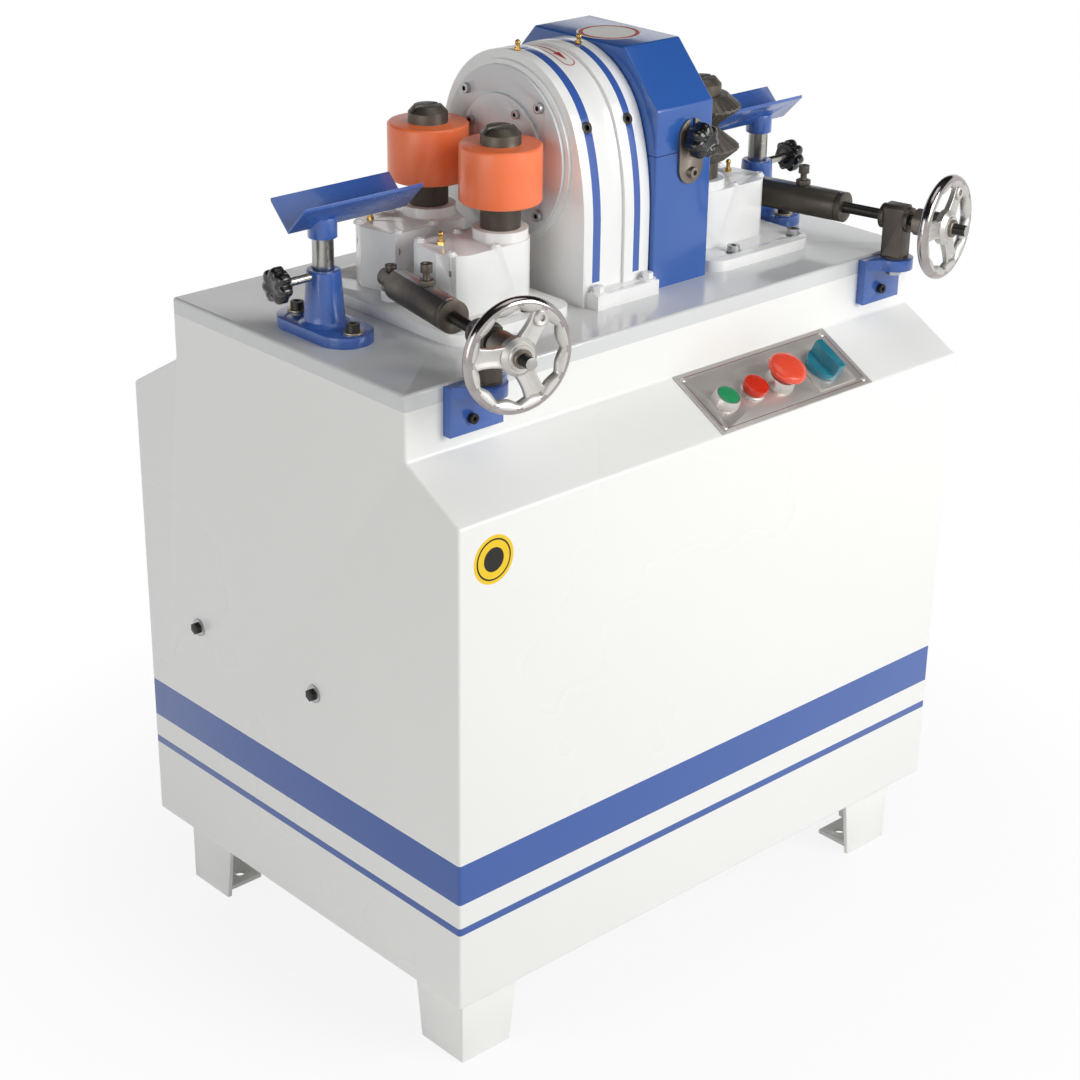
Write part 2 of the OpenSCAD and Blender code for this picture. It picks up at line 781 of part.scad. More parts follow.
// One sheet of the lifting half, between two stations of Y and two heights above the feed axis
module hood_sheet(y0, y1, z0, z1) {
  intersection() {
    translate([0, 0, axis_z]) along_x(hood_x0 + hood_wall + seam, hood_x1 - hood_wall - seam) difference() {
      hood_profile(0);
      hood_profile(hood_wall);
    }
    translate([hood_x0, y0, axis_z + z0]) cube([hood_w, y1 - y0, z1 - z0]);
  }
}

module hood_lower() {
  color("royalblue") placed() {
    hood_cheeks() translate([-hood_half, deck_z]) square([2 * hood_half, axis_rise - hood_split]);
    difference() {
      for (y = [-hood_half, hood_half - hood_wall]) translate([hood_x0 + hood_wall + seam, y, deck_z])
        cube([hood_w - 2 * (hood_wall + seam), hood_wall, axis_rise - hood_split]);
      at_latch(lower_screw) shank_hole(7, 12);
    }
  }
  color("royalblue") placed() for (x = hinge_spots) {
    hood_knuckle(x + 12, 12, false);
    translate([0, hood_hinge_y, hood_hinge_rise]) axis_bar(x, x + 18, hood_pin_r);
  }
}

hood_split = 0.2;
hinge_spots = [hood_x0 + 12, hood_x1 - 36];
hood_hinge_y = hood_half + 5;
hood_hinge_rise = 45;
hood_pin_r = 2;

// A hinge knuckle: the lower leaf is a strap that carries the pin, and the upper one turns on it
module hood_knuckle(x, w, upper) {
  difference() {
    union() {
      translate([0, hood_hinge_y, hood_hinge_rise]) axis_bar(x, x + w - 0.3, 4.5);
      if (upper) translate([x, hood_half - 0.5, axis_z + hood_hinge_rise - 3]) cube([w - 0.3, 5.5, 6]);
      else {
        translate([x, hood_half + free, axis_z - 16]) cube([w - 0.3, 3, 16 + hood_hinge_rise]);
        translate([x, hood_half - 0.5, axis_z - 16]) cube([w - 0.3, 3, 14]);
      }
    }
    if (upper) translate([0, hood_hinge_y, hood_hinge_rise]) axis_bar(x - 1, x + w + 1, hood_pin_r + fit);
  }
}

module hood_upper() {
  color("royalblue") placed() {
    hood_cheeks() intersection() {
      translate([0, axis_z]) hood_profile(0);
      translate([-hood_half, axis_z + hood_split]) square([2 * hood_half, hood_rise]);
    }
    for (b = [0, 1]) mirror([0, b, 0]) {
      hood_sheet(-hood_half - 1, -hood_half + hood_wall, hood_split, hood_shoulder - seam);
      hood_sheet(-hood_half - 1, -hood_top_half - seam, hood_shoulder, hood_rise + 1);
    }
    hood_sheet(-hood_top_half, hood_top_half, hood_rise - hood_wall, hood_rise + 1);
    for (x = hinge_spots) hood_knuckle(x, 12, true);
    at_latch(stud_rise) translate([0, 0, -0.5]) cylinder(r = 4, h = 20);
  }
}

latch_x = (hood_x0 + hood_x1) / 2 + 10;
lower_screw = -27;
stud_rise = 15;
latch_t = 3;
latch_r = 20;

// Places children on the hood's front at a height above the feed axis, pointing out of it
module at_latch(rise) { translate([latch_x, -hood_half, axis_z + rise]) rotate([90, 0, 0]) children(); }

module latch_plate() {
  color("silver") placed() {
    difference() {
      at_latch(0) translate([0, 0, 0.3]) linear_extrude(latch_t) difference() {
        rotate(90) slot_2d(lower_screw + 6, stud_rise + 4, latch_r);
        translate([-4.6, stud_rise]) square([9.2, latch_r * 2]);
        translate([0, stud_rise]) circle(r = 4.6);
      }
      at_latch(lower_screw) shank_hole(7, 12);
    }
    at_latch(lower_screw) translate([0, 0, 0.3 + latch_t]) cap_screw(7, 7, 8);
  }
}

module latch_knob() {
  color("black") placed() at_latch(stud_rise) difference() {
    translate([0, 0, latch_t + 0.8]) {
      cylinder(r = 12, h = 9);
      translate([0, 0, 8]) star_grip(20, 20);
    }
    translate([0, 0, -1]) cylinder(r = 4 + fit, h = 21);
  }
}

// Feeders

// The outline of a gear case from its pivot: X towards the roller, Y towards the feed axis
module case_outline(g) {
  polygon([
    [-case_tail * 0.68 + g, case_in - g], [-case_tail + g, -4], [-case_tail * 0.66 + 0.9 * g, -27 + g / 2],
    [-8 + 0.4 * g, -case_out + g], [arm_len, -case_out + g], [arm_len + case_out - g, 0],
    [arm_len + case_out - 1 - g, 12], [arm_len + 16 - 0.8 * g, case_in - g]
  ]);
  translate([arm_len, 0]) circle(r = case_out - g);
}

// Places children at an arm's pivot, X towards its roller and Y towards the feed axis
module at_arm(s, b) {
  translate([pivot_x(s), b * roller_y, 0]) mirror([s < 0 ? 0 : 1, 0, 0]) mirror([0, b < 0 ? 0 : 1, 0]) children();
}

function inv(a) = tan(a) * 180 / PI - a;
base_r = drive_gear_r * cos(20);
tip_r = drive_gear_r + 0.9 * gear_module;
root_r = drive_gear_r - 1.15 * gear_module;
backlash = 0.25;
function tooth_half(r) = 90 / gear_teeth - backlash + inv(20) - (r > base_r ? inv(acos(base_r / r)) : 0);
tooth_r = [root_r, base_r, (base_r + drive_gear_r) / 2, drive_gear_r, (drive_gear_r + tip_r) / 2, tip_r];
function tooth_points(a) = concat(
  [for (r = tooth_r) r * [cos(a - tooth_half(r)), sin(a - tooth_half(r))]],
  [for (i = [len(tooth_r) - 1:-1:0]) tooth_r[i] * [cos(a + tooth_half(tooth_r[i])), sin(a + tooth_half(tooth_r[i]))]]);

// Involute teeth from one to another, with a tooth on the Y axis, or a gap where half is 1
module teeth_2d(first, last, half) {
  rotate(90) polygon([for (i = [first:last]) each tooth_points((i + half / 2) * 360 / gear_teeth)]);
}

module sector_2d(half) {
  teeth_2d(-4, 4 - half, half);
  polygon([[0, -10], [root_r * 0.8, root_r * 0.55], [root_r * 0.5, root_r * 0.8],
           [-root_r * 0.5, root_r * 0.8], [-root_r * 0.8, root_r * 0.55]]);
  circle(r = sleeve_r + 9);
}

floor_t = 8;
cover_plate_t = 5;
chain_at = 30;
chain_t = 4.5;
pad_r = 7;
pad_rise = 1.5;
case_pads = [[-15, 45], [-22, -19], [36, -30], [42, 43]];
lug_t = 12;
lug_top = tube_z - neck_r - 0.6;
function eye_x(s) = post_x(s) - s * eye_at * sin(tube_turn);
eye_y = post_y + eye_at * cos(tube_turn);
function eye_uv(s) = [-s * (eye_x(s) - pivot_x(s)), roller_y - eye_y];
lug_root = [-14, case_in - 12];

module arm_lug(s) {
  way = eye_uv(s) - lug_root;
  translate([lug_root[0], lug_root[1], lug_top - lug_t]) rotate(atan2(way[1], way[0]))
    linear_extrude(lug_t) slot_2d(0, norm(way), 12);
}

module feed_case(s, b) {
  half = b < 0 ? 0 : 1;
  color("white") placed() at_arm(s, b) {
    difference() {
      union() {
        translate([0, 0, case_z + 0.2]) linear_extrude(case_h - cover_plate_t - 0.2) case_outline(0);
        translate([0, 0, sector_z]) cylinder(r = sleeve_r, h = case_z + 1 - sector_z);
        translate([0, 0, sector_z]) linear_extrude(gear_t) sector_2d(half);
        if (b > 0) arm_lug(s);
      }
      difference() {
        translate([0, 0, case_z + floor_t]) linear_extrude(case_h) case_outline(case_wall);
        translate([arm_len, 0, case_z]) cylinder(r = sprocket_r - 1, h = floor_t + 8);
        for (p = case_pads) translate([p[0], p[1], case_z]) cylinder(r = pad_r, h = case_h);
      }
      translate([arm_len, 0, case_z + floor_t]) cylinder(r = roller_shaft_r + fit, h = case_h);
      translate([0, 0, sector_z - 1]) cylinder(r = pin_r + fit, h = case_h + 60);
      for (p = case_pads) translate([p[0], p[1], case_top]) shank_hole(5, 26);
      if (b > 0) translate([eye_uv(s)[0], eye_uv(s)[1], lug_top - lug_t - 1]) cylinder(r = 8, h = lug_t + 2);
    }
    difference() {
      union() {
        translate([0, 0, case_top - cover_plate_t]) linear_extrude(cover_plate_t) case_outline(0);
        translate([arm_len, 0, case_top - 1]) cylinder(r = boss_r, h = boss_z - case_top + 1);
        for (p = case_pads) translate([p[0], p[1], case_top - 1]) cylinder(r = pad_r, h = 1 + pad_rise);
      }
      translate([arm_len, 0, case_z]) cylinder(r = roller_shaft_r + fit, h = case_h * 2);
      for (p = case_pads) translate([p[0], p[1], case_top + pad_rise]) shank_hole(5, 12);
    }
    for (p = case_pads) translate([p[0], p[1], case_top + pad_rise]) cap_screw(5, 2.5, 20);
    translate([0, 0, case_z + chain_at + 1]) linear_extrude(6) difference() {
      slot_2d(0, arm_len, sprocket_r + free + chain_t);
      slot_2d(0, arm_len, sprocket_r + free);
    }
    translate([-5, -b * 19, case_top]) nipple(13);
  }
}

// A grease nipple: a hexagon, a stem and a round head whose middle stands this high
module nipple(rise) {
  cylinder(r = 4.6, h = rise * 0.3, $fn = 6);
  cylinder(r = 2.6, h = rise);
  translate([0, 0, rise]) sphere(r = 3.4);
}

module feed_drive(s, b) {
  half = b < 0 ? 0 : 1;
  low = b < 0 ? gear_plate_z - 38 : drive_gear_z - 12;
  color("dimgray") placed() at_arm(s, b) {
    translate([0, 0, low]) cylinder(r = pin_r, h = case_z + chain_at + 12 - low);
    translate([0, 0, case_z + floor_t + 0.3]) ring_disc(sprocket_r - 3, pin_r, chain_at - floor_t);
    translate([0, 0, case_z + chain_at]) ring_disc(sprocket_r, pin_r, gear_t);
    translate([0, 0, drive_gear_z]) difference() {
      linear_extrude(gear_t) teeth_2d(0, gear_teeth - 1, half);
      translate([0, 0, -1]) cylinder(r = pin_r, h = gear_t + 2);
      for (i = [0:5]) rotate(i * 60) translate([drive_gear_r * 0.55, 0, -1]) cylinder(r = 11, h = gear_t + 2);
    }
    translate([0, 0, drive_gear_z - 8]) ring_disc(sleeve_r, pin_r, 8);
    translate([0, 0, drive_gear_z + gear_t]) ring_disc(sleeve_r, pin_r, sector_z - drive_gear_z - gear_t - 0.3);
  }
}

module ring_disc(r, hole, h) {
  difference() {
    cylinder(r = r, h = h);
    translate([0, 0, -1]) cylinder(r = hole, h = h + 2);
  }
}

nut_r = 24;
nut_h = 20;

// The domed nut on a roller, slotted across for a driver
module roller_nut(z) {
  difference() {
    union() {
      translate([0, 0, z]) cylinder(r = nut_r, h = nut_h * 0.6);
      translate([0, 0, z + nut_h * 0.6]) cylinder(r1 = nut_r, r2 = nut_r * 0.7, h = nut_h * 0.4);
    }
    translate([-nut_r - 1, -2.5, z + nut_h - 7]) cube([2 * nut_r + 2, 5, 8]);
    translate([0, 0, z - 1]) cylinder(r = roller_shaft_r, h = 9);
  }
}

module roller_spindle(top) {
  translate([0, 0, case_z + floor_t + 0.3]) cylinder(r = roller_shaft_r, h = top - case_z - floor_t - 0.3);
  translate([0, 0, case_z + chain_at]) ring_disc(sprocket_r, roller_shaft_r, gear_t);
  translate([0, 0, boss_z + 0.3]) ring_disc(nut_r, roller_shaft_r, 12);
}

module soft_roller(b) {
  z = axis_z - soft_roller_h / 2;
  color("coral") placed() at_arm(-1, b) translate([arm_len, 0, 0]) {
    roller_spindle(z + soft_roller_h + 8);
    translate([0, 0, boss_z + 12.3]) ring_disc(nut_r, roller_shaft_r, z - boss_z - 12.3);
    translate([0, 0, z]) rotate_extrude() polygon([
      [roller_shaft_r, 0], [soft_roller_r - 2, 0], [soft_roller_r, 2],
      [soft_roller_r, soft_roller_h - 2], [soft_roller_r - 2, soft_roller_h], [roller_shaft_r, soft_roller_h]
    ]);
    roller_nut(z + soft_roller_h);
  }
}

// A closed ring of ridges and grooves round Z; each ring gives a radius, a height and a groove depth
module ridged(rings, n) {
  m = len(rings);
  k = 2 * n;
  polyhedron(
    points = [for (p = rings) for (i = [0:k - 1]) let (r = p[0] - (i % 2) * p[2], a = i * 360 / k)
      [r * cos(a), r * sin(a), p[1]]],
    faces = [for (j = [0:m - 1]) for (i = [0:k - 1])
      let (a = j * k + i, b = j * k + (i + 1) % k, c = ((j + 1) % m) * k + i, d = ((j + 1) % m) * k + (i + 1) % k)
      each [[a, c, d], [a, d, b]]],
    convexity = 8);
}

spike_n = 28;
module spike_roller(b) {
  half = spike_roller_h / 2;
  hub = roller_shaft_r + 0.4;
  color("silver") placed() at_arm(1, b) translate([arm_len, 0, 0]) {
    roller_spindle(axis_z + half + 8);
    translate([0, 0, boss_z + 12.3]) ring_disc(nut_r, roller_shaft_r, axis_z - half - boss_z - 12.3);
    translate([0, 0, axis_z]) ridged([
      [hub, -half, 0], [spike_roller_r * 0.66, -half, 0], [spike_roller_r, -half * 0.65, 3],
      [spike_roller_r, -half * 0.58, 3], [spike_waist_r + 4, -half * 0.13, 1.6], [spike_waist_r, 0, 1.4],
      [spike_waist_r + 4, half * 0.13, 1.6], [spike_roller_r, half * 0.58, 3],
      [spike_roller_r, half * 0.65, 3], [spike_roller_r * 0.66, half, 0], [hub, half, 0]
    ], spike_n);
    roller_nut(axis_z + half);
  }
}

function base_corners(s) = [for (x = [-base_out + 17, base_in - 55], b = [-1, 1]) [pivot_x(s) - s * x, b * (base_half - 22)]];

module feeder_bases() {
  color("gainsboro") placed() for (s = [-1, 1]) difference() {
    translate([pivot_x(s), 0, deck_z]) mirror([s < 0 ? 0 : 1, 0, 0]) linear_extrude(base_t)
      round_plate_2d(-base_out, base_in, base_half, 25);
    for (b = [-1, 1]) translate([pivot_x(s), b * roller_y, deck_z - 1]) cylinder(r = sleeve_r + fit, h = base_t + 2);
    for (p = base_corners(s)) translate([p[0], p[1], deck_z - 1]) linear_extrude(base_t + 2) slot_2d(-7, 7, 5.2);
  }
}

// Pressure screws

// Places children on a pressure screw's axis, Z from the post towards the arms and Y down
module on_screw(s) {
  translate([post_x(s), post_y, tube_z]) rotate([0, 0, s * tube_turn]) rotate([-90, 0, 0]) children();
}

module handwheel(s) {
  ring_r = wheel_r - rim_r;
  color("silver") placed() on_screw(s) translate([0, 0, -wheel_out]) {
    rotate_extrude() translate([ring_r, 0]) circle(r = rim_r);
    difference() {
      union() {
        translate([0, 0, -10]) cylinder(r = hub_r, h = wheel_out + 10 - hub_gap - 20);
        translate([0, 0, -6]) cylinder(r = hub_r + 5, h = 11);
        for (i = [0:2]) rotate(spoke_turn + i * 120) translate([hub_r - 4, -8, -4])
          cube([ring_r - hub_r + 2, 16, 7]);
        rotate(spoke_turn) translate([ring_r * 0.8, 0, -6]) cylinder(r = 9, h = 11);
      }
      translate([0, 0, -12]) cylinder(r = rod_r, h = wheel_out);
      rotate(spoke_turn) translate([ring_r * 0.8, 0, -8]) cylinder(r = 4, h = 15);
    }
    translate([0, 0, -14]) ring_disc(11, rod_r, 4);
  }
}

post_nut_r = 9.6;
module swivel_post(s) {
  color("gainsboro") placed() difference() {
    union() {
      translate([post_x(s), post_y, 0]) rotate([0, 0, s * tube_turn]) {
        translate([-12, -14, deck_z]) cube([24, 28, tube_rise + 14]);
        translate([0, 14, tube_z + 14]) rotate([90, 0, 0]) linear_extrude(28)
          polygon([[-12, -1], [12, -1], [8, 4], [-8, 4]]);
        translate([0, 0, deck_z - 1 - shelf_t - 9]) cylinder(r = 8, h = shelf_t + 12);
        translate([0, 0, deck_z - shelf_t - 10]) cylinder(r = post_nut_r, h = 8.8, $fn = 6);
        translate([0, 0, deck_z - 0.7]) cylinder(r = 17, h = 2);
      }
      on_screw(s) for (z = [14, -20]) translate([0, 0, z]) cylinder(r = 16, h = 6);
    }
    on_screw(s) translate([0, 0, -40]) cylinder(r = rod_r + fit, h = 80);
  }
}

tube_wall = 3.5;
rod_in = 175;
collar_at = tube_start + 12;
// The screw that holds the spring's seat: its place along the tube and how high its head stands
stop_at = tube_start + 63;
stop_rise = 15;

module feed_rod(s) {
  color("silver") placed() on_screw(s) {
    translate([0, 0, -rod_tip]) cylinder(r = rod_r, h = rod_tip + rod_in);
    translate([0, 0, collar_at]) ring_disc(tube_r - tube_wall - free, rod_r, 8);
  }
}

module spring_tube(s) {
  color("silver") placed() on_screw(s) {
    difference() {
      union() {
        translate([0, 0, tube_start]) cylinder(r = tube_r, h = tube_end - tube_start);
        translate([0, 0, tube_end - 1]) cylinder(r = neck_r, h = neck_end - tube_end + 1);
        translate([0, 0, tube_end]) cylinder(r1 = tube_r * 0.8, r2 = neck_r, h = 6);
      }
      translate([0, 0, tube_start + tube_wall]) cylinder(r = tube_r - tube_wall, h = tube_end - tube_start - 12);
      translate([0, 0, tube_start - 1]) cylinder(r = rod_r + fit, h = 20);
      translate([0, 0, tube_start + 7]) difference() {
        cylinder(r = tube_r + 1, h = 1.5);
        translate([0, 0, -1]) cylinder(r = tube_r - 1, h = 4);
      }
      translate([0, neck_r + 1, eye_at]) rotate([90, 0, 0]) cylinder(r = 4, h = 2 * neck_r + 2);
      translate([0, -tube_r + 5, stop_at]) rotate([90, 0, 0]) cylinder(r = 4.3, h = 8);
    }
    translate([0, -neck_r, eye_at]) rotate([90, 0, 0]) cap_screw(7, 7, 1);
    translate([0, neck_r + lug_t - 2, eye_at]) rotate([90, 0, 0]) cylinder(r = 4, h = 2 * neck_r + lug_t - 3);
    translate([0, -tube_r - stop_rise, stop_at]) rotate([90, 0, 0]) cap_screw(7, 10, stop_rise + 4);
    translate([0, -tube_r - 0.2, stop_at]) rotate([90, 0, 0]) ring_disc(9.5, 4.2, 6, $fn = 6);
  }
}

module pressure_spring(s) {
  z = collar_at + 8 + free;
  color("dimgray") placed() on_screw(s) translate([0, 0, z])
    ring_disc(tube_r - tube_wall - free - 1, rod_r + 2, tube_start + tube_wall + tube_end - tube_start - 12 - z - 0.3);
}

shelf_t = 14;
shelf_r = 24;
bracket_t = 12;
bracket_in = 44;
bracket_screw = 31;
module wheel_brackets() {
  color("royalblue") placed() for (s = [-1, 1]) {
    x0 = post_x(s) - bracket_in;
    w = s < 0 ? 86 : 91;
    difference() {
      union() {
        translate([x0, -deck_half - bracket_t, deck_z - 60]) cube([w, bracket_t, 58]);
        translate([post_x(s), 0, deck_z - 1 - shelf_t]) linear_extrude(shelf_t) {
          intersection() {
            translate([0, post_y]) circle(r = shelf_r);
            translate([-shelf_r, post_y - shelf_r]) square([2 * shelf_r, shelf_r + post_out - bracket_t + 1]);
          }
          polygon([[-shelf_r, post_y - 2], [2 - bracket_in, -deck_half - bracket_t + 1],
                   [bracket_in - 2, -deck_half - bracket_t + 1], [shelf_r, post_y - 2]]);
        }
      }
      translate([post_x(s), post_y, deck_z - 40]) cylinder(r = 8 + fit, h = 60);
      translate([x0 + bracket_screw, -deck_half - bracket_t, deck_z - 43]) rotate([90, 0, 0]) shank_hole(6, bracket_t + 1);
    }
  }
}

// Troughs

module trough_bases() {
  color("royalblue") placed() for (s = [-1, 1]) translate([s * trough_x, 0, deck_z]) difference() {
    union() {
      rotate(90) linear_extrude(trough_base_t) slot_2d(-36.5, 36.5, 33.5);
      rotate_extrude() polygon([
        [0, 0], [30, 0], [30, trough_base_t], [post_foot_r, trough_base_t + 4],
        [post_top_r, post_h - 1], [post_top_r - 1, post_h], [0, post_h]
      ]);
    }
    translate([0, 0, trough_base_t]) cylinder(r = trough_rod_r + fit, h = post_h);
    translate([0, 0, post_h - 6]) rotate([0, s * 90, 0]) cylinder(r = clamp_r + fit, h = 30);
    for (y = [-52, 52]) translate([0, y, trough_base_t]) shank_hole(8, trough_base_t + 1);
  }
}

clamp_r = 5;
post_foot_r = 24;
post_top_r = 20;

module clamp_knob(s) {
  color("black") placed() translate([s * trough_x, 0, clamp_z]) rotate([0, s * 90, 0]) {
    translate([0, 0, trough_rod_r + 0.5]) cylinder(r = clamp_r, h = knob_in + 4 - trough_rod_r);
    translate([0, 0, knob_in]) ring_disc(10, clamp_r, 4);
    translate([0, 0, knob_in + 4]) star_grip(18, knob_reach - knob_in - 4);
  }
}

module trough(s) {
  k = trough_t * sqrt(2);
  rod_low = 30;
  far = cab_w / 2 - trough_gap;
  color("royalblue") placed() {
    translate([0, 0, trough_z]) along_x(s < 0 ? -far : far - trough_len, s < 0 ? trough_len - far : far)
      polygon([[-trough_half, trough_half], [0, 0], [trough_half, trough_half],
               [trough_half, trough_half - k], [0, -k], [-trough_half, trough_half - k]]);
    difference() {
      translate([s * trough_x, 0, 0]) {
        translate([0, 0, deck_z + rod_low]) cylinder(r = trough_rod_r, h = trough_z - deck_z - rod_low);
        translate([0, 0, trough_z - 16]) cylinder(r = 17, h = 24);
      }
      translate([0, 0, trough_z]) along_x(-far - 5, far + 5)
        polygon([[0, -k], [trough_half, trough_half - k], [trough_half, 60], [-trough_half, 60],
                 [-trough_half, trough_half - k]]);
    }
  }
}

// Fasteners

module hex_bolt(r, h, depth) {
  washer(r * 1.45, r * 0.6, 2);
  translate([0, 0, 2]) hex_head(r, h);
  translate([0, 0, -depth]) cylinder(r = r * 0.6, h = depth + 3);
}

module side_bolts() {
  for (s = [-1, 1], p = [[197, 423], [-41, 424]])
    translate([s * cab_w / 2, p[0], p[1]]) rotate([0, s * 90, 0]) hex_bolt(8, 6, -1);
}

module fasteners() {
  color("dimgray") placed() {
    at_cover_screws() cap_screw(6.5, 6, 16);
    at_cap_screws() cap_screw(5.5, 5, 9);
    at_set_screws() cap_screw(7, 9, 0);
    at_foot_bolts() hex_bolt(7, 7, 12);
    for (s = [-1, 1], p = base_corners(s)) translate([p[0], p[1], deck_z + base_t]) cap_screw(8, 8, base_t - 1);
    for (s = [-1, 1]) translate([post_x(s) - bracket_in + bracket_screw, -deck_half - bracket_t, deck_z - 43]) rotate([90, 0, 0])
      cap_screw(6, 6, bracket_t - 1);
    for (s = [-1, 1], y = [-52, 52]) translate([s * trough_x, y, deck_z + trough_base_t]) {
      washer(12, 4.8, 2);
      translate([0, 0, 2]) cap_screw(8, 9, trough_base_t + 1);
    }
    side_bolts();
  }
}

module grease_nipples() {
  color("gold") placed() at_head_nipples() {
    nipple(9);
    translate([0, 0, -6]) cylinder(r = 2.9, h = 7);
  }
}

module door_hinges() { color("silver") placed() door_hinge_seat(); }

module cable_gland() {
  color("black") placed() translate([cab_w / 2, back_y - 120, cab_z + 60]) rotate([0, 90, 0]) difference() {
    union() {
      cylinder(r = 14, h = 5, $fn = 6);
      translate([0, 0, 4]) cylinder(r = 10.5, h = 5);
      translate([0, 0, -sheet - 1]) cylinder(r = 9.8, h = sheet + 2);
      translate([0, 0, -sheet - 5]) cylinder(r = 14, h = 5, $fn = 6);
    }
    translate([0, 0, -20]) cylinder(r = 6, h = 40);
  }
}

cabinet_body();
deck_plate();
feet();
control_panel();
power_lamp();
start_button();
stop_button();
selector_knob();
rear_door();
door_handle();
head_housing();
head_cover();
bearing_cap();
spindle_bearings();
spindle();
cutter_knives();
spindle_pulley();
drive_belts();
motor_pulley();
main_motor();
feed_gearmotor();
door_hinges();
cable_gland();
hood_lower();
hood_upper();
latch_plate();
latch_knob();
fasteners();
grease_nipples();
feeder_bases();
wheel_brackets();
trough_bases();
trough(-1);  // left_trough
trough(1);  // right_trough
clamp_knob(-1);  // left_clamp_knob
clamp_knob(1);  // right_clamp_knob
handwheel(-1);  // left_handwheel
handwheel(1);  // right_handwheel
swivel_post(-1);  // left_swivel_post
swivel_post(1);  // right_swivel_post
feed_rod(-1);  // left_feed_rod
feed_rod(1);  // right_feed_rod
spring_tube(-1);  // left_spring_tube
spring_tube(1);  // right_spring_tube
pressure_spring(-1);  // left_spring
pressure_spring(1);  // right_spring
feed_case(-1, -1);  // left_front_case
feed_case(-1, 1);  // left_back_case
feed_case(1, -1);  // right_front_case
feed_case(1, 1);  // right_back_case
feed_drive(-1, -1);  // left_front_drive
feed_drive(-1, 1);  // left_back_drive
feed_drive(1, -1);  // right_front_drive
feed_drive(1, 1);  // right_back_drive
soft_roller(-1);  // left_front_roller
soft_roller(1);  // left_back_roller
spike_roller(-1);  // right_front_roller
spike_roller(1);  // right_back_roller
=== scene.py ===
"""Looks of a dowel making machine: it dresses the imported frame, piece by piece.

Every length is in metres in the CAD's own frame. X runs along the feed, Y from the operator to
the back, and Z is up. Castings keep the shape that the CAD gives them, with their edges broken
as a fettled casting's are; the folded sheets, knobs, handwheels and stickers are modelled here.
"""

import json
import logging
import math
from collections.abc import Callable
from dataclasses import dataclass, field
from enum import Enum

import bpy
from mathutils import Matrix, Vector


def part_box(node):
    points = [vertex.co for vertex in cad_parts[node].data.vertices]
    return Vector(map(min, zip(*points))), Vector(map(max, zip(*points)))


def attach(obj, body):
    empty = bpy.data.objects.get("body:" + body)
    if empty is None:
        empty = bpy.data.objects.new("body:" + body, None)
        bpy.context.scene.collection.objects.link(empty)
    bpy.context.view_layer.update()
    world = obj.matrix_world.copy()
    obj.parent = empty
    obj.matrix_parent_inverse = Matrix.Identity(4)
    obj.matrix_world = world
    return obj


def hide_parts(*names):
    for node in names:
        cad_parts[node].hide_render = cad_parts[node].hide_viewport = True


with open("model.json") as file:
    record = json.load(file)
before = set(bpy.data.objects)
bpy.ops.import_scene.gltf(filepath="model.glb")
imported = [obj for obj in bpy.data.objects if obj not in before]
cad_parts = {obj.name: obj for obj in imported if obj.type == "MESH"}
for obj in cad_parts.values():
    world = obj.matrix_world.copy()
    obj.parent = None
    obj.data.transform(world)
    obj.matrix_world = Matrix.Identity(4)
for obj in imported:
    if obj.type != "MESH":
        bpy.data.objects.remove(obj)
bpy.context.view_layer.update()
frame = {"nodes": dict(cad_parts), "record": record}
LOG = logging.getLogger("dowel_machine")

MM = 0.001
MERGE = 0.01 * MM  # corners nearer than this are one
FLAT = math.radians(0.6)  # faces that turn less than this are one
X, Y, Z = Vector((1, 0, 0)), Vector((0, 1, 0)), Vector((0, 0, 1))
RECORD = frame["record"]
BODY_OF = {n: body for body, nodes in RECORD["behaviour"]["bodies"].items() for n in nodes}
SLOT_OF = {s["node"]: s["material_slot"] for s in RECORD["subparts"]}


def middle(node: str) -> Vector:
    """Gives the middle of a CAD node's box.

    Args:
        node: The CAD node's name.

    Returns:
        The point halfway between the box's corners.
    """
    low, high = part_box(node)
    return (low + high) / 2


CABINET_MID = middle("cabinet_body")
ORIGIN = Vector((CABINET_MID.x, CABINET_MID.y - 3 * MM, 0.0))


def at(x: float, y: float, z: float) -> Vector:
    """Turns a place on the machine into a point in the frame.

    Args:
        x: Millimetres from the cabinet's middle plane.
        y: Millimetres behind the feed line.
        z: Millimetres above the floor.

    Returns:
        The point, in metres.
    """
    return ORIGIN + Vector((x, y, z)) * MM


def sides_of(side: "Side", left: float, right: float) -> float:
    """Picks the value that belongs to one end of the feed.

    Args:
        side: The end.
        left: The value at the outfeed end.
        right: The value at the infeed end.

    Returns:
        One of the two.
    """
    return left if side is Side.LEFT else right


# Materials


def linear(code: str) -> tuple[float, float, float, float]:
    """Turns an sRGB hex colour into Blender's linear one.

    Args:
        code: Six hex digits, such as "F2F2EF".

    Returns:
        Linear red, green and blue, and an alpha of 1.
    """
    parts = [int(code[i:i + 2], 16) / 255 for i in (0, 2, 4)]
    curve = [c / 12.92 if c <= 0.04045 else ((c + 0.055) / 1.055) ** 2.4 for c in parts]
    return (*curve, 1.0)


def add(tree: bpy.types.NodeTree, kind: str, inputs: dict | None = None, **settings: object) -> bpy.types.Node:
    """Adds a shader node, sets its properties, and fills or links its inputs.

    Args:
        tree: The node tree that takes it.
        kind: The node's type name.
        inputs: Input name or number, to a value or to the output socket that feeds it.
        settings: Properties of the node.

    Returns:
        The new node.
    """
    made = tree.nodes.new(kind)
    for name, value in settings.items():
        setattr(made, name, value)
    for key, value in (inputs or {}).items():
        if isinstance(value, bpy.types.NodeSocket):
            tree.links.new(value, made.inputs[key])
        else:
            made.inputs[key].default_value = value
    return made


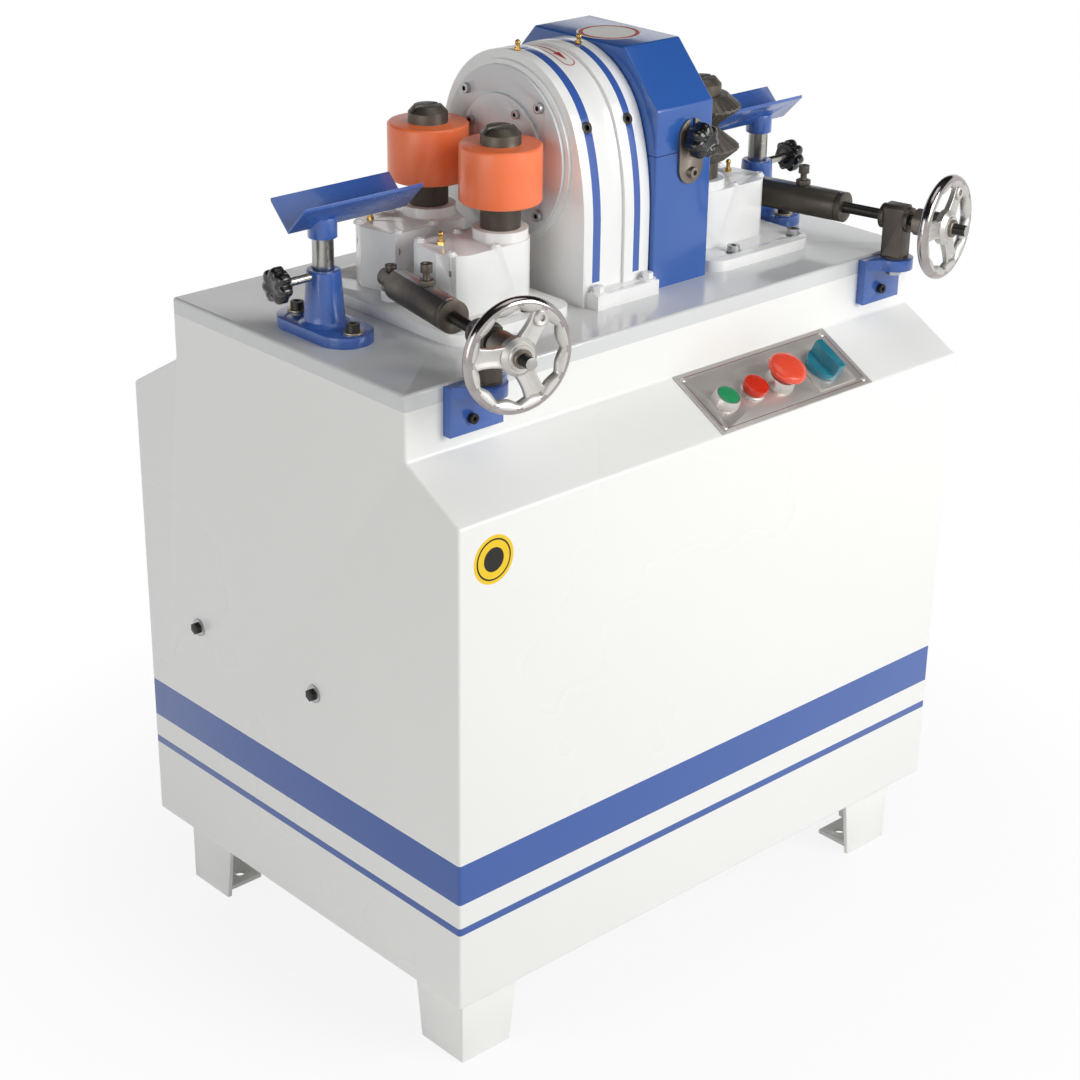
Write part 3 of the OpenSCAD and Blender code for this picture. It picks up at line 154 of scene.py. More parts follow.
class Pattern(Enum):
    """How a surface's fine relief lies."""

    ORANGE_PEEL = "sprayed and baked paint"
    SAND = "paint over a sand casting"
    TURNED_X = "rings left by a lathe, round X"
    TURNED_Z = "rings left by a lathe, round Z"
    BRUSHED_X = "lines brushed along X"
    PLAIN = "moulded or polished"


STRETCH: dict[Pattern, tuple[float, float, float]] = {
    Pattern.ORANGE_PEEL: (1, 1, 1),
    Pattern.SAND: (1, 1, 1),
    Pattern.TURNED_X: (12, 0.6, 0.6),
    Pattern.TURNED_Z: (0.6, 0.6, 12),
    Pattern.BRUSHED_X: (0.04, 4, 4),
    Pattern.PLAIN: (1, 1, 1),
}


@dataclass(frozen=True)
class Finish:
    """A finish with two close colours that drift into each other, and a relief of a real size.

    Args:
        name: What the real surface is.
        colour: Its main colour, sRGB hex.
        shade: The colour that its patches drift to.
        metallic: 1 for bare metal, 0 for paint and plastic.
        roughness: The smoothest that it gets.
        rough_more: How much rougher its dullest patches are.
        coat: Weight of a clear gloss layer.
        grain_mm: Size of the relief.
        depth_mm: Height of the relief.
        patch_mm: Size of the patches of colour.
        pattern: How the relief lies.
        transmission: Share of light that goes through.
        subsurface: Share of light that spreads inside.
    """

    name: str
    colour: str
    shade: str
    metallic: float = 0.0
    roughness: float = 0.3
    rough_more: float = 0.1
    coat: float = 0.0
    grain_mm: float = 1.5
    depth_mm: float = 0.02
    patch_mm: float = 60.0
    pattern: Pattern = Pattern.PLAIN
    transmission: float = 0.0
    subsurface: float = 0.0

    def mask(self, tree: bpy.types.NodeTree, place: bpy.types.NodeSocket,
             base: bpy.types.NodeSocket) -> bpy.types.NodeSocket:
        """Returns the colour as it is; a finish with painted lines changes it."""
        return base

    def build(self) -> bpy.types.Material:
        """Makes the material.

        Returns:
            The material, made once and then reused.
        """
        known = bpy.data.materials.get(self.name)
        if known:
            return known
        material = bpy.data.materials.new(self.name)
        material.use_nodes = True
        tree = material.node_tree
        tree.nodes.clear()
        place = add(tree, "ShaderNodeTexCoord").outputs["Object"]
        patches = add(tree, "ShaderNodeTexNoise",
                      {"Vector": place, "Scale": 1000 / self.patch_mm, "Detail": 3.0, "Roughness": 0.55})
        colour = add(tree, "ShaderNodeMix",
                     {0: patches.outputs["Fac"], 6: linear(self.colour), 7: linear(self.shade)},
                     data_type="RGBA").outputs[2]
        rough = add(tree, "ShaderNodeMapRange",
                    {"Value": patches.outputs["Fac"], "From Min": 0.3, "From Max": 0.7,
                     "To Min": self.roughness, "To Max": self.roughness + self.rough_more})
        lie = add(tree, "ShaderNodeMapping", {"Vector": place, "Scale": STRETCH[self.pattern]})
        grain = add(tree, "ShaderNodeTexNoise",
                    {"Vector": lie.outputs["Vector"], "Scale": 1000 / self.grain_mm, "Detail": 2.0})
        bump = add(tree, "ShaderNodeBump",
                   {"Height": grain.outputs["Fac"], "Distance": self.depth_mm * MM, "Strength": 1.0})
        shader = add(tree, "ShaderNodeBsdfPrincipled", {
            "Base Color": self.mask(tree, place, colour), "Metallic": self.metallic,
            "Roughness": rough.outputs["Result"], "Normal": bump.outputs["Normal"],
            "Coat Weight": self.coat, "Coat Roughness": 0.08,
            "Transmission Weight": self.transmission, "Subsurface Weight": self.subsurface,
            "Subsurface Radius": (0.004, 0.0015, 0.001)})
        add(tree, "ShaderNodeOutputMaterial", {"Surface": shader.outputs["BSDF"]})
        return material


@dataclass(frozen=True)
class LinedFinish(Finish):
    """A finish with straight painted lines, each between two values of one coordinate.

    Args:
        axis: 0, 1 or 2 for X, Y or Z.
        lines: Low and high edge of each line, in metres.
        line_colour: Colour of the lines, sRGB hex.
        floor: No line is painted below this height, in metres.
    """

    axis: int = 2
    lines: tuple[tuple[float, float], ...] = ()
    line_colour: str = "345AA6"
    floor: float = -1.0

    def mask(self, tree: bpy.types.NodeTree, place: bpy.types.NodeSocket,
             base: bpy.types.NodeSocket) -> bpy.types.NodeSocket:
        """Lays the painted lines over the base colour.

        Args:
            tree: The material's node tree.
            place: The object coordinates.
            base: The colour under the lines.

        Returns:
            The colour with its lines.
        """
        split = add(tree, "ShaderNodeSeparateXYZ", {0: place})
        high = add(tree, "ShaderNodeMath", {0: split.outputs[2], 1: self.floor},
                   operation="GREATER_THAN").outputs[0]
        for low, top in self.lines:
            band = add(tree, "ShaderNodeMath", {0: split.outputs[self.axis], 1: (low + top) / 2, 2: (top - low) / 2},
                       operation="COMPARE").outputs[0]
            both = add(tree, "ShaderNodeMath", {0: band, 1: high}, operation="MULTIPLY").outputs[0]
            base = add(tree, "ShaderNodeMix", {0: both, 6: base, 7: linear(self.line_colour)},
                       data_type="RGBA").outputs[2]
        return base


CABINET_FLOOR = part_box("cabinet_body")[0].z
HEAD_WEB_R = 116 * MM

# Polyester powder coat, baked: a slight orange peel of about 2 mm under an even gloss.
POWDER_COAT = LinedFinish("powder_coat_white", "F2F2EF", "F0F0ED", roughness=0.27, rough_more=0.02, coat=0.15,
                          grain_mm=2.4, depth_mm=0.003, patch_mm=500, pattern=Pattern.ORANGE_PEEL,
                          lines=((CABINET_FLOOR + 0.146, CABINET_FLOOR + 0.199),
                                 (CABINET_FLOOR + 0.104, CABINET_FLOOR + 0.114)))
# Alkyd enamel brushed and sprayed over sand-cast iron: the sand still shows as soft dimples.
CAST_ENAMEL = Finish("cast_enamel_white", "F2F2F0", "ECEDEC", roughness=0.22, rough_more=0.05, coat=0.35,
                     grain_mm=6.0, depth_mm=0.04, patch_mm=90, pattern=Pattern.SAND)
# The same enamel on the head, with a blue line masked and painted along each rib.
HEAD_ENAMEL = LinedFinish("head_enamel_white", "F2F2F0", "ECEDEC", roughness=0.22, rough_more=0.05, coat=0.35,
                          grain_mm=7.0, depth_mm=0.04, patch_mm=90, pattern=Pattern.SAND, axis=0,
                          lines=((at(-65.5, 0, 0).x, at(-53, 0, 0).x), (at(2, 0, 0).x, at(12.5, 0, 0).x)),
                          line_colour="3A5CA8", floor=at(0, 0, 885).z)
# Grey enamel on machined flat covers, thinner, so it is smoother than on the casting.
COVER_ENAMEL = Finish("cover_enamel_grey", "DCDEDF", "D5D7D9", roughness=0.28, coat=0.25,
                      grain_mm=3.0, depth_mm=0.02, pattern=Pattern.ORANGE_PEEL)
# White enamel on the ground deck plate, painted light grey as painted shade on its top, with patches that drift a
# little greyer.
DECK_ENAMEL_PAINTED_SHADE = Finish("deck_enamel", "DADBDB", "D4D6D6", roughness=0.16, rough_more=0.06, coat=0.5,
                     grain_mm=2.5, depth_mm=0.003, patch_mm=250, pattern=Pattern.ORANGE_PEEL)
# Blue alkyd enamel on folded sheet.
SHEET_BLUE = Finish("sheet_enamel_blue", "2F5EAC", "2C59A4", roughness=0.22, rough_more=0.03, coat=0.4,
                    grain_mm=2.4, depth_mm=0.004, patch_mm=200, pattern=Pattern.ORANGE_PEEL)
# The same blue over sand-cast brackets, dimpled and pooled at the edges.
CAST_BLUE = Finish("cast_enamel_blue", "3F67B4", "375CA6", roughness=0.22, rough_more=0.08, coat=0.4,
                   grain_mm=4.5, depth_mm=0.06, patch_mm=40, pattern=Pattern.SAND)
# Hot black oxide over turned steel: brown-black, oily and a little mottled.
BLACK_OXIDE = Finish("black_oxide_steel", "635C53", "524C44", metallic=0.7, roughness=0.38, rough_more=0.12,
                     grain_mm=1.2, depth_mm=0.012, patch_mm=14, pattern=Pattern.SAND)
# Milled teeth left bare: greyer, with brighter worn ridges.
MILLED_STEEL = Finish("milled_tooth_steel", "7A746B", "57524B", metallic=0.85, roughness=0.34, rough_more=0.2,
                      grain_mm=1.5, depth_mm=0.02, patch_mm=10, pattern=Pattern.TURNED_Z)
# Blackened alloy steel of socket screws.
SCREW_BLACK = Finish("screw_black_steel", "35322F", "2A2826", metallic=0.7, roughness=0.34,
                     grain_mm=0.8, depth_mm=0.01, patch_mm=8)
# Cylindrically ground bar, bright with fine rings.
GROUND_BAR = Finish("ground_steel_bar", "BDBBB5", "A9A7A1", metallic=1.0, roughness=0.24, rough_more=0.1,
                    grain_mm=0.8, depth_mm=0.004, patch_mm=30, pattern=Pattern.TURNED_Z)
# Zinc-plated, yellow-passivated washers and nuts.
ZINC = Finish("yellow_zinc_plate", "C9BFA2", "B5AB92", metallic=1.0, roughness=0.3, rough_more=0.12,
              grain_mm=1.0, depth_mm=0.008, patch_mm=6)
# Plain zinc plate on screws that are left bright.
BRIGHT_ZINC = Finish("bright_zinc_plate", "B9BABB", "A3A4A6", metallic=0.9, roughness=0.3, rough_more=0.1,
                     grain_mm=1.0, depth_mm=0.006, patch_mm=6)
# The hole of a socket, painted dark as painted shade inside it.
SOCKET_PAINTED_SHADE = Finish("socket_recess", "2B2A29", "232221", metallic=0.3, roughness=0.6, grain_mm=1.0, patch_mm=4)
# Mild steel strap, bare and a little brown where hands have oiled it.
OILED_STRAP = Finish("oiled_steel_strap", "8F867B", "7B7268", metallic=0.85, roughness=0.36, rough_more=0.14,
                     grain_mm=1.4, depth_mm=0.012, patch_mm=10)
# Bare machined iron of the pulleys.
MACHINED_IRON = Finish("machined_iron", "8C8B88", "7A7976", metallic=0.9, roughness=0.38,
                       grain_mm=1.0, depth_mm=0.01, patch_mm=20, pattern=Pattern.TURNED_X)
# Stainless sheet of the control panel, brushed along its length.
BRUSHED_STEEL = Finish("brushed_stainless", "D2CDC8", "C6C1BC", metallic=0.75, roughness=0.36, rough_more=0.08,
                       grain_mm=0.9, depth_mm=0.008, patch_mm=25, pattern=Pattern.BRUSHED_X)
# Rim of the handwheels: cast iron, plated and buffed, so that it mirrors with a slight wave.
CHROME_RIM = Finish("buffed_chrome", "BDB8B6", "8A8382", metallic=1.0, roughness=0.1, rough_more=0.1,
                    grain_mm=9.0, depth_mm=0.05, patch_mm=18)
# The same wheel's spokes, left as cast under the plating: bright, but rough like sandpaper.
CHROME_CAST = Finish("plated_casting", "D4D2CE", "B9B6B1", metallic=0.85, roughness=0.34, rough_more=0.15,
                     grain_mm=1.6, depth_mm=0.12, patch_mm=12, pattern=Pattern.SAND)
# Turned brass of grease nipples.
BRASS = Finish("turned_brass", "C9A763", "AE8A49", metallic=1.0, roughness=0.22, grain_mm=0.8,
               depth_mm=0.005, patch_mm=6, pattern=Pattern.TURNED_Z)
# Moulded phenolic of knobs: near black and glossy.
BAKELITE = Finish("moulded_bakelite", "1E1D1C", "171615", roughness=0.16, rough_more=0.1, coat=0.3,
                  grain_mm=3.0, depth_mm=0.015, patch_mm=15)
# Cast polyurethane tyre: orange, waxy, light spreads a little way in.
POLYURETHANE = Finish("cast_polyurethane", "FF8450", "FD7846", roughness=0.3, rough_more=0.06, coat=0.15,
                      grain_mm=4.0, depth_mm=0.02, patch_mm=40, subsurface=0.12, pattern=Pattern.TURNED_Z)
# Panel controls, all injection moulded.
GREEN_CAP = Finish("green_button_cap", "2F9E66", "278A58", roughness=0.22, coat=0.3, patch_mm=12)
RED_LENS = Finish("red_lamp_lens", "D8331C", "C82A15", roughness=0.2, coat=0.2, patch_mm=12, subsurface=0.1)
RED_CAP = Finish("red_mushroom_cap", "F2553A", "E8482E", roughness=0.25, coat=0.3, patch_mm=16)
TEAL_CLEAR = Finish("teal_clear_polycarbonate", "3AA6BC", "2A93AC", roughness=0.12, rough_more=0.05, coat=0.4,
                    patch_mm=20, transmission=0.45)
RUBBER = Finish("belt_rubber", "1C1C1C", "242424", roughness=0.7, grain_mm=1.0, depth_mm=0.02)
MOTOR_PAINT = Finish("motor_enamel", "5A6B78", "4E5E6A", roughness=0.35, grain_mm=4.0, depth_mm=0.06,
                     pattern=Pattern.SAND)
STICKER_YELLOW = Finish("sticker_yellow_vinyl", "F4CE12", "EEC60C", roughness=0.35, patch_mm=15)
STICKER_WHITE = Finish("sticker_white_vinyl", "E8E6E2", "E0DEDA", roughness=0.35, patch_mm=15)
STICKER_RED = Finish("sticker_red_ink", "B3302E", "A62A28", roughness=0.4, patch_mm=15)
PANEL_INK = Finish("panel_red_ink", "7A3A38", "6E3331", roughness=0.45, patch_mm=10)

# Modelling


def clear_selection() -> None:
    """Deselects every object, because an operator acts on all that is selected."""
    bpy.ops.object.select_all(action="DESELECT")


def take(piece: bpy.types.Object) -> bpy.types.Object:
    """Makes one object the only one selected, and the active one.

    Args:
        piece: The object.

    Returns:
        The same object.
    """
    clear_selection()
    piece.select_set(True)
    bpy.context.view_layer.objects.active = piece
    return piece


EdgePick = Callable[[Vector, Vector], bool]


def add_mesh(name: str, points: list[tuple[float, ...]], edges: list[tuple[int, ...]],
             faces: list[tuple[int, ...]]) -> bpy.types.Object:
    """Makes an object from points, and takes it up in edit mode with all of it selected.

    Args:
        name: What it is, until it is settled.
        points: Its corners, in metres.
        edges: Pairs of corners, where no face has them.
        faces: Corners round each face.

    Returns:
        The new object.
    """
    mesh = bpy.data.meshes.new(name)
    mesh.from_pydata(points, edges, faces)
    piece = bpy.data.objects.new(name, mesh)
    bpy.context.scene.collection.objects.link(piece)
    edit_all(piece)
    return piece


def edit_all(piece: bpy.types.Object) -> None:
    """Takes an object up in edit mode and selects all of its mesh.

    Args:
        piece: The object.
    """
    take(piece)
    bpy.ops.object.mode_set(mode="EDIT")
    bpy.ops.mesh.select_all(action="SELECT")


def leave_edit(clear: bool = True) -> None:
    """Leaves edit mode.

    Args:
        clear: Whether what is selected in the mesh is deselected first.
    """
    if clear:
        bpy.ops.mesh.select_all(action="DESELECT")
    bpy.ops.object.mode_set(mode="OBJECT")


def finish_mesh(piece: bpy.types.Object, bevel: float = 0.0, segments: int = 2, angle: float = 32.0,
                smooth: float = 32.0, pick: EdgePick | None = None) -> bpy.types.Object:
    """Breaks a piece's edges, applies that, and shades it.

    Args:
        piece: The mesh object.
        bevel: Width of the broken edges, in metres; 0 leaves them sharp.
        segments: Steps in each broken edge.
        angle: Only edges that turn more than this many degrees are broken.
        smooth: Edges that turn less than this many degrees shade smooth.
        pick: Tells from an edge's ends whether it is broken; the angle decides if none.

    Returns:
        The same object.
    """
    take(piece)
    if pick:
        weights = piece.data.attributes.new("bevel_weight_edge", "FLOAT", "EDGE")
        for edge in piece.data.edges:
            ends = [piece.data.vertices[i].co for i in edge.vertices]
            weights.data[edge.index].value = 1.0 if pick(*ends) else 0.0
    if bevel > 0:
        rounding = piece.modifiers.new("Edges", "BEVEL")
        rounding.width, rounding.segments = bevel, segments
        rounding.limit_method, rounding.angle_limit = "WEIGHT" if pick else "ANGLE", math.radians(angle)
        rounding.use_clamp_overlap = True
        rounding.miter_outer = "MITER_ARC"
        bpy.ops.object.modifier_apply(modifier=rounding.name)
    bpy.ops.object.shade_smooth_by_angle(angle=math.radians(smooth))
    return piece


def paint(piece: bpy.types.Object, *finishes: Finish) -> None:
    """Gives a piece its materials.

    Args:
        piece: The mesh object.
        finishes: Its finishes, in the order of its material slots.
    """
    piece.data.materials.clear()
    for finish in finishes:
        piece.data.materials.append(finish.build())


def settle(piece: bpy.types.Object, name: str, body: str, slot: str, *replaced: str) -> bpy.types.Object:
    """Names a piece and ties it to its body and to the CAD nodes that it stands for.

    Args:
        piece: The finished mesh object.
        name: The piece's name.
        body: The CAD body that it rides on.
        slot: The record's material slot; not used.
        replaced: The CAD nodes that it replaces, if any.

    Returns:
        The same object.
    """
    take(piece)
    bpy.ops.object.transform_apply(location=True, rotation=True, scale=True)
    piece.name = name
    piece.data.name = name
    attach(piece, body)
    if replaced:
        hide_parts(*replaced)
    LOG.info("%s rides on %s: %d faces", name, body, len(piece.data.polygons))
    return piece


def merged_copy(node: str) -> bpy.types.Object:
    """Copies a CAD node's mesh and merges its loose triangles.

    Args:
        node: The CAD node's name.

    Returns:
        The new object, selected and active.
    """
    piece = bpy.data.objects.new(node + "_dressed", frame["nodes"][node].data.copy())
    bpy.context.scene.collection.objects.link(piece)
    edit_all(piece)
    bpy.ops.mesh.remove_doubles(threshold=MERGE)
    leave_edit()
    return piece


Chooser = Callable[[list[Vector]], int]


def dress(node: str, bevel: float, *finishes: Finish, choose: Chooser | None = None,
          pick: EdgePick | None = None, tools: tuple[bpy.types.Object, ...] = (),
          smooth: float = 32.0) -> bpy.types.Object:
    """Replaces a CAD node by its own shape with broken edges and real finishes.

    Args:
        node: The CAD node's name.
        bevel: Width of its broken edges, in metres.
        finishes: What its surfaces are.
        choose: Gives the number of a face's finish from its corners; all take the first if none.
        pick: Tells which edges are broken, if not every sharp one.
        tools: Solids that are cut out of it first.
        smooth: Edges that turn less than this many degrees shade smooth.

    Returns:
        The new piece.
    """
    piece = cut(merged_copy(node), *tools)
    paint(piece, *finishes)
    for face in piece.data.polygons:
        corners = [piece.data.vertices[i].co for i in face.vertices]
        face.material_index = choose(corners) if choose else 0
    edit_all(piece)
    bpy.ops.mesh.dissolve_limited(angle_limit=FLAT, delimit={"MATERIAL"})
    leave_edit()
    finish_mesh(piece, bevel, 4 if pick else 2, smooth=smooth, pick=pick)
    return settle(piece, node + "_dressed", BODY_OF[node], SLOT_OF[node], node)


def join(pieces: list[bpy.types.Object]) -> bpy.types.Object:
    """Joins several objects into the first.

    Args:
        pieces: The objects; their materials stay with their faces.

    Returns:
        The joined object.
    """
    clear_selection()
    for piece in pieces:
        piece.select_set(True)
    bpy.context.view_layer.objects.active = pieces[0]
    bpy.ops.object.join()
    return pieces[0]


def lathe(profile: list[tuple[float, float]], steps: int = 48) -> bpy.types.Object:
    """Spins an outline round Z by one turn.

    Args:
        profile: Radius and height of each corner, in metres, from the foot of the axis to its top.
        steps: Copies of the outline round the turn.

    Returns:
        The turned object, closed and facing outwards.
    """
    piece = add_mesh("turned", [(r, 0, z) for r, z in profile], [(i, i + 1) for i in range(len(profile) - 1)], [])
    bpy.ops.mesh.spin(steps=steps, angle=math.tau, center=(0, 0, 0), axis=(0, 0, 1))
    bpy.ops.mesh.select_all(action="SELECT")
    bpy.ops.mesh.remove_doubles(threshold=2 * MERGE)
    bpy.ops.mesh.normals_make_consistent(inside=False)
    leave_edit(clear=False)
    return piece


def outline_plate(points: list[tuple[float, float]], thickness: float) -> bpy.types.Object:
    """Raises a flat outline in X and Y into a plate.

    Args:
        points: The outline's corners in order, in metres.
        thickness: Height of the plate, in metres.

    Returns:
        The plate, standing on Z = 0.
    """
    piece = add_mesh("plate", [(x, y, 0) for x, y in points], [], [tuple(range(len(points)))])
    bpy.ops.mesh.extrude_region_move(TRANSFORM_OT_translate={"value": (0, 0, thickness)})
    bpy.ops.mesh.select_all(action="SELECT")
    bpy.ops.mesh.normals_make_consistent(inside=False)
    leave_edit(clear=False)
    return piece


def folded_shell(outline: list[tuple[float, float]], reach: tuple[float, float], wall: float, fold: float,
                 open_below: float | None = None, open_above: float | None = None) -> bpy.types.Object:
    """Folds a box of sheet metal from its outline in Y and Z, run along X.

    Args:
        outline: The outside corners, in millimetres as at() takes them, and beyond an open end.
        reach: The first and last X, in millimetres.
        wall: Thickness of the sheet, in metres.
        fold: Outside radius of every fold, in metres.
        open_below: Height under which the box is cut off and open, in millimetres, if it is.
        open_above: Height over which it is cut off and open, in millimetres, if it is.

    Returns:
        The shell, walled inwards.
    """
    count = len(outline)
    corners = [at(x, y, z) for x in reach for y, z in outline]
    sides = [(i, (i + 1) % count, count + (i + 1) % count, count + i) for i in range(count)]
    ends = [tuple(range(count)), tuple(range(count, 2 * count))]
    shell = add_mesh("shell", [tuple(c) for c in corners], [], sides + ends)
    bpy.ops.mesh.normals_make_consistent(inside=False)
    leave_edit(clear=False)
    finish_mesh(shell, fold, 4, 15)
    for height, way in ((open_below, -1), (open_above, 1)):
        if height is not None:
            edit_all(shell)
            bpy.ops.mesh.bisect(plane_co=at(0, 0, height), plane_no=(0, 0, way), clear_outer=True)
            leave_edit(clear=False)
    thick = shell.modifiers.new("Sheet", "SOLIDIFY")
    thick.thickness, thick.offset, thick.use_even_offset = wall, -1, True
    bpy.ops.object.modifier_apply(modifier=thick.name)
    return shell


def cut(piece: bpy.types.Object, *tools: bpy.types.Object) -> bpy.types.Object:
    """Cuts openings in a piece, and clears away what cut them.

    Args:
        piece: The piece that is cut.
        tools: Solids that are taken out of it.

    Returns:
        The same piece.
    """
    for tool in tools:
        take(piece)
        saw = piece.modifiers.new("Opening", "BOOLEAN")
        saw.operation, saw.solver, saw.object = "DIFFERENCE", "EXACT", tool
        bpy.ops.object.modifier_apply(modifier=saw.name)
        bpy.data.objects.remove(tool)
    return piece


def rod(radius: float, start: Vector, end: Vector, steps: int = 48) -> bpy.types.Object:
    """Makes a plain round rod.

    Args:
        radius: Its radius, in metres.
        start: The middle of one end, in the frame.
        end: The middle of the other end.
        steps: Its sides.

    Returns:
        The rod.
    """
    clear_selection()
    bpy.ops.mesh.primitive_cylinder_add(radius=radius, depth=(end - start).length, vertices=steps)
    bar = bpy.context.active_object
    way = (end - start).normalized()
    side = Z if abs(way.z) < 0.9 else X
    return place(bar, (start + end) / 2, way, side)


def block(low: Vector, high: Vector) -> bpy.types.Object:
    """Makes a square block.

    Args:
        low: Its lowest corner, in the frame.
        high: Its highest corner.

    Returns:
        The block.
    """
    clear_selection()
    bpy.ops.mesh.primitive_cube_add(size=1)
    cube = bpy.context.active_object
    cube.data.transform(Matrix.Translation((low + high) / 2) @ Matrix.Diagonal((*(high - low), 1)))
    return cube


def place(piece: bpy.types.Object, origin: Vector, z_axis: Vector, x_axis: Vector) -> bpy.types.Object:
    """Moves a piece's mesh from its own axes to a place in the frame.

    Args:
        piece: The object, modelled about its own origin.
        origin: Where that origin goes.
        z_axis: Where its Z points.
        x_axis: Roughly where its X points.

    Returns:
        The same object.
    """
    z = z_axis.normalized()
    y = z.cross(x_axis).normalized()
    turn = Matrix((y.cross(z), y, z)).transposed().to_4x4()
    piece.data.transform(Matrix.Translation(origin) @ turn)
    return piece


def ring_points(radius: float, count: int, centre: tuple[float, float] = (0, 0)) -> list[tuple[float, float]]:
    """Gives the corners of a circle.

    Args:
        radius: The circle's radius, in metres.
        count: How many corners.
        centre: The circle's middle.

    Returns:
        Its corners, counter-clockwise.
    """
    return [(centre[0] + radius * math.cos(math.tau * i / count),
             centre[1] + radius * math.sin(math.tau * i / count)) for i in range(count)]


class Side(Enum):
    """The two ends of the feed."""

    LEFT = -1
    RIGHT = 1

    @property
    def word(self) -> str:
        """The side's name, as the CAD nodes have it."""
        return self.name.lower()


@dataclass
class Cabinet:
    """The sheet cabinet, its deck, feet, door and inspection sticker."""

    half_width: float = 425
    deck_half: float = 218
    front: float = -307
    back: float = 313
    foot_z: float = 107
    crease_z: float = 729
    slope_top_z: float = 778
    back_crease_z: float = 723
    under_z: float = 837
    deck_z: float = 857
    sheet: float = 3 * MM
    fold: float = 4 * MM
    door_half: float = 248
    door_low: float = 209
    door_high: float = 585
    gland_at: tuple[float, float, float] = (425, 193, 167)
    sticker_r: float = 29 * MM
    sticker_at: Vector = field(default_factory=lambda: at(-375, -307, 680))

    def shell(self, panel: "Panel") -> None:
        """Folds the cabinet's sheet, open under the deck, and cuts its door, its gland and the panel's holes.

        Args:
            panel: The control panel, whose controls reach through the front slope.
        """
        over = self.under_z + 12
        outline = [(self.front, self.foot_z), (self.front, self.crease_z), (-self.deck_half, self.slope_top_z),
                   (-self.deck_half, over), (self.deck_half, over), (self.deck_half, self.slope_top_z),
                   (self.back, self.back_crease_z), (self.back, self.foot_z)]
        shell = folded_shell(outline, (-self.half_width, self.half_width), self.sheet, self.fold,
                             open_above=self.under_z)
        x, y, z = self.gland_at
        tools = [block(at(-self.door_half, self.back - 10, self.door_low),
                       at(self.door_half, self.back + 10, self.door_high)),
                 rod(10 * MM, at(x - 12, y, z), at(x + 12, y, z))]
        tools += [rod(panel.hole_r, panel.spot(place_x, panel.controls_up, -10),
                      panel.spot(place_x, panel.controls_up, 10))
                  for place_x in panel.control_x]
        cut(shell, *tools)
        paint(shell, POWDER_COAT)
        settle(finish_mesh(shell), "cabinet_shell", "machine", SLOT_OF["cabinet_body"], "cabinet_body")

    def outer_edge(self, start: Vector, end: Vector) -> bool:
        """Tells the deck's top rim and its upright corners from the edges of its holes.

        Args:
            start: One end of an edge.
            end: Its other end.

        Returns:
            Whether the edge is on the rim or at a corner.
        """
        def rim(point: Vector) -> bool:
            """Tells whether a point is over one of the deck's four sides."""
            low, high = at(-self.half_width, -self.deck_half, 0), at(self.half_width, self.deck_half, self.deck_z)
            on_side = min(abs(point.x - low.x), abs(point.x - high.x)) < 0.1 * MM
            on_end = min(abs(point.y - low.y), abs(point.y - high.y)) < 0.1 * MM
            return on_side or on_end

        def corner(point: Vector) -> bool:
            """Tells whether a point is at one of the deck's four corners."""
            far = point - ORIGIN
            return abs(far.x) > (self.half_width - 0.1) * MM and abs(far.y) > (self.deck_half - 0.1) * MM

        top = min(start.z, end.z) > (self.deck_z - 0.1) * MM
        upright = (start - end).xy.length < 0.01 * MM
        return (top and rim(start) and rim(end)) or (upright and corner(start))

    def build(self) -> None:
        """Models the cabinet's shell, dresses the rest of it and adds its sticker."""
        self.shell(Panel())
        dress("feet", 1.2 * MM, POWDER_COAT)
        # The deck's enamel is painted light grey, as painted shade on its top.
        dress("deck_plate", self.fold, DECK_ENAMEL_PAINTED_SHADE, pick=self.outer_edge)
        dress("rear_door", 0.8 * MM, POWDER_COAT)
        dress("door_handle", 1.5 * MM, BAKELITE)
        dress("door_hinges", 0.5 * MM, ZINC)
        dress("cable_gland", 0.7 * MM, BAKELITE)
        self.sticker()

    def sticker(self) -> None:
        """Lays a plain round sticker with a dark ring on the front, with nothing written on it."""
        layers = []
        for radius, lift, finish in ((1.0, 0.15, STICKER_YELLOW), (0.86, 0.25, SCREW_BLACK),
                                     (0.79, 0.32, STICKER_YELLOW), (0.5, 0.38, SCREW_BLACK)):
            disc = outline_plate(ring_points(self.sticker_r * radius, 64), lift * MM)
            paint(disc, finish)
            layers.append(place(disc, self.sticker_at, -Y, X))
        settle(join(layers), "inspection_sticker", "machine", SLOT_OF["cabinet_body"])


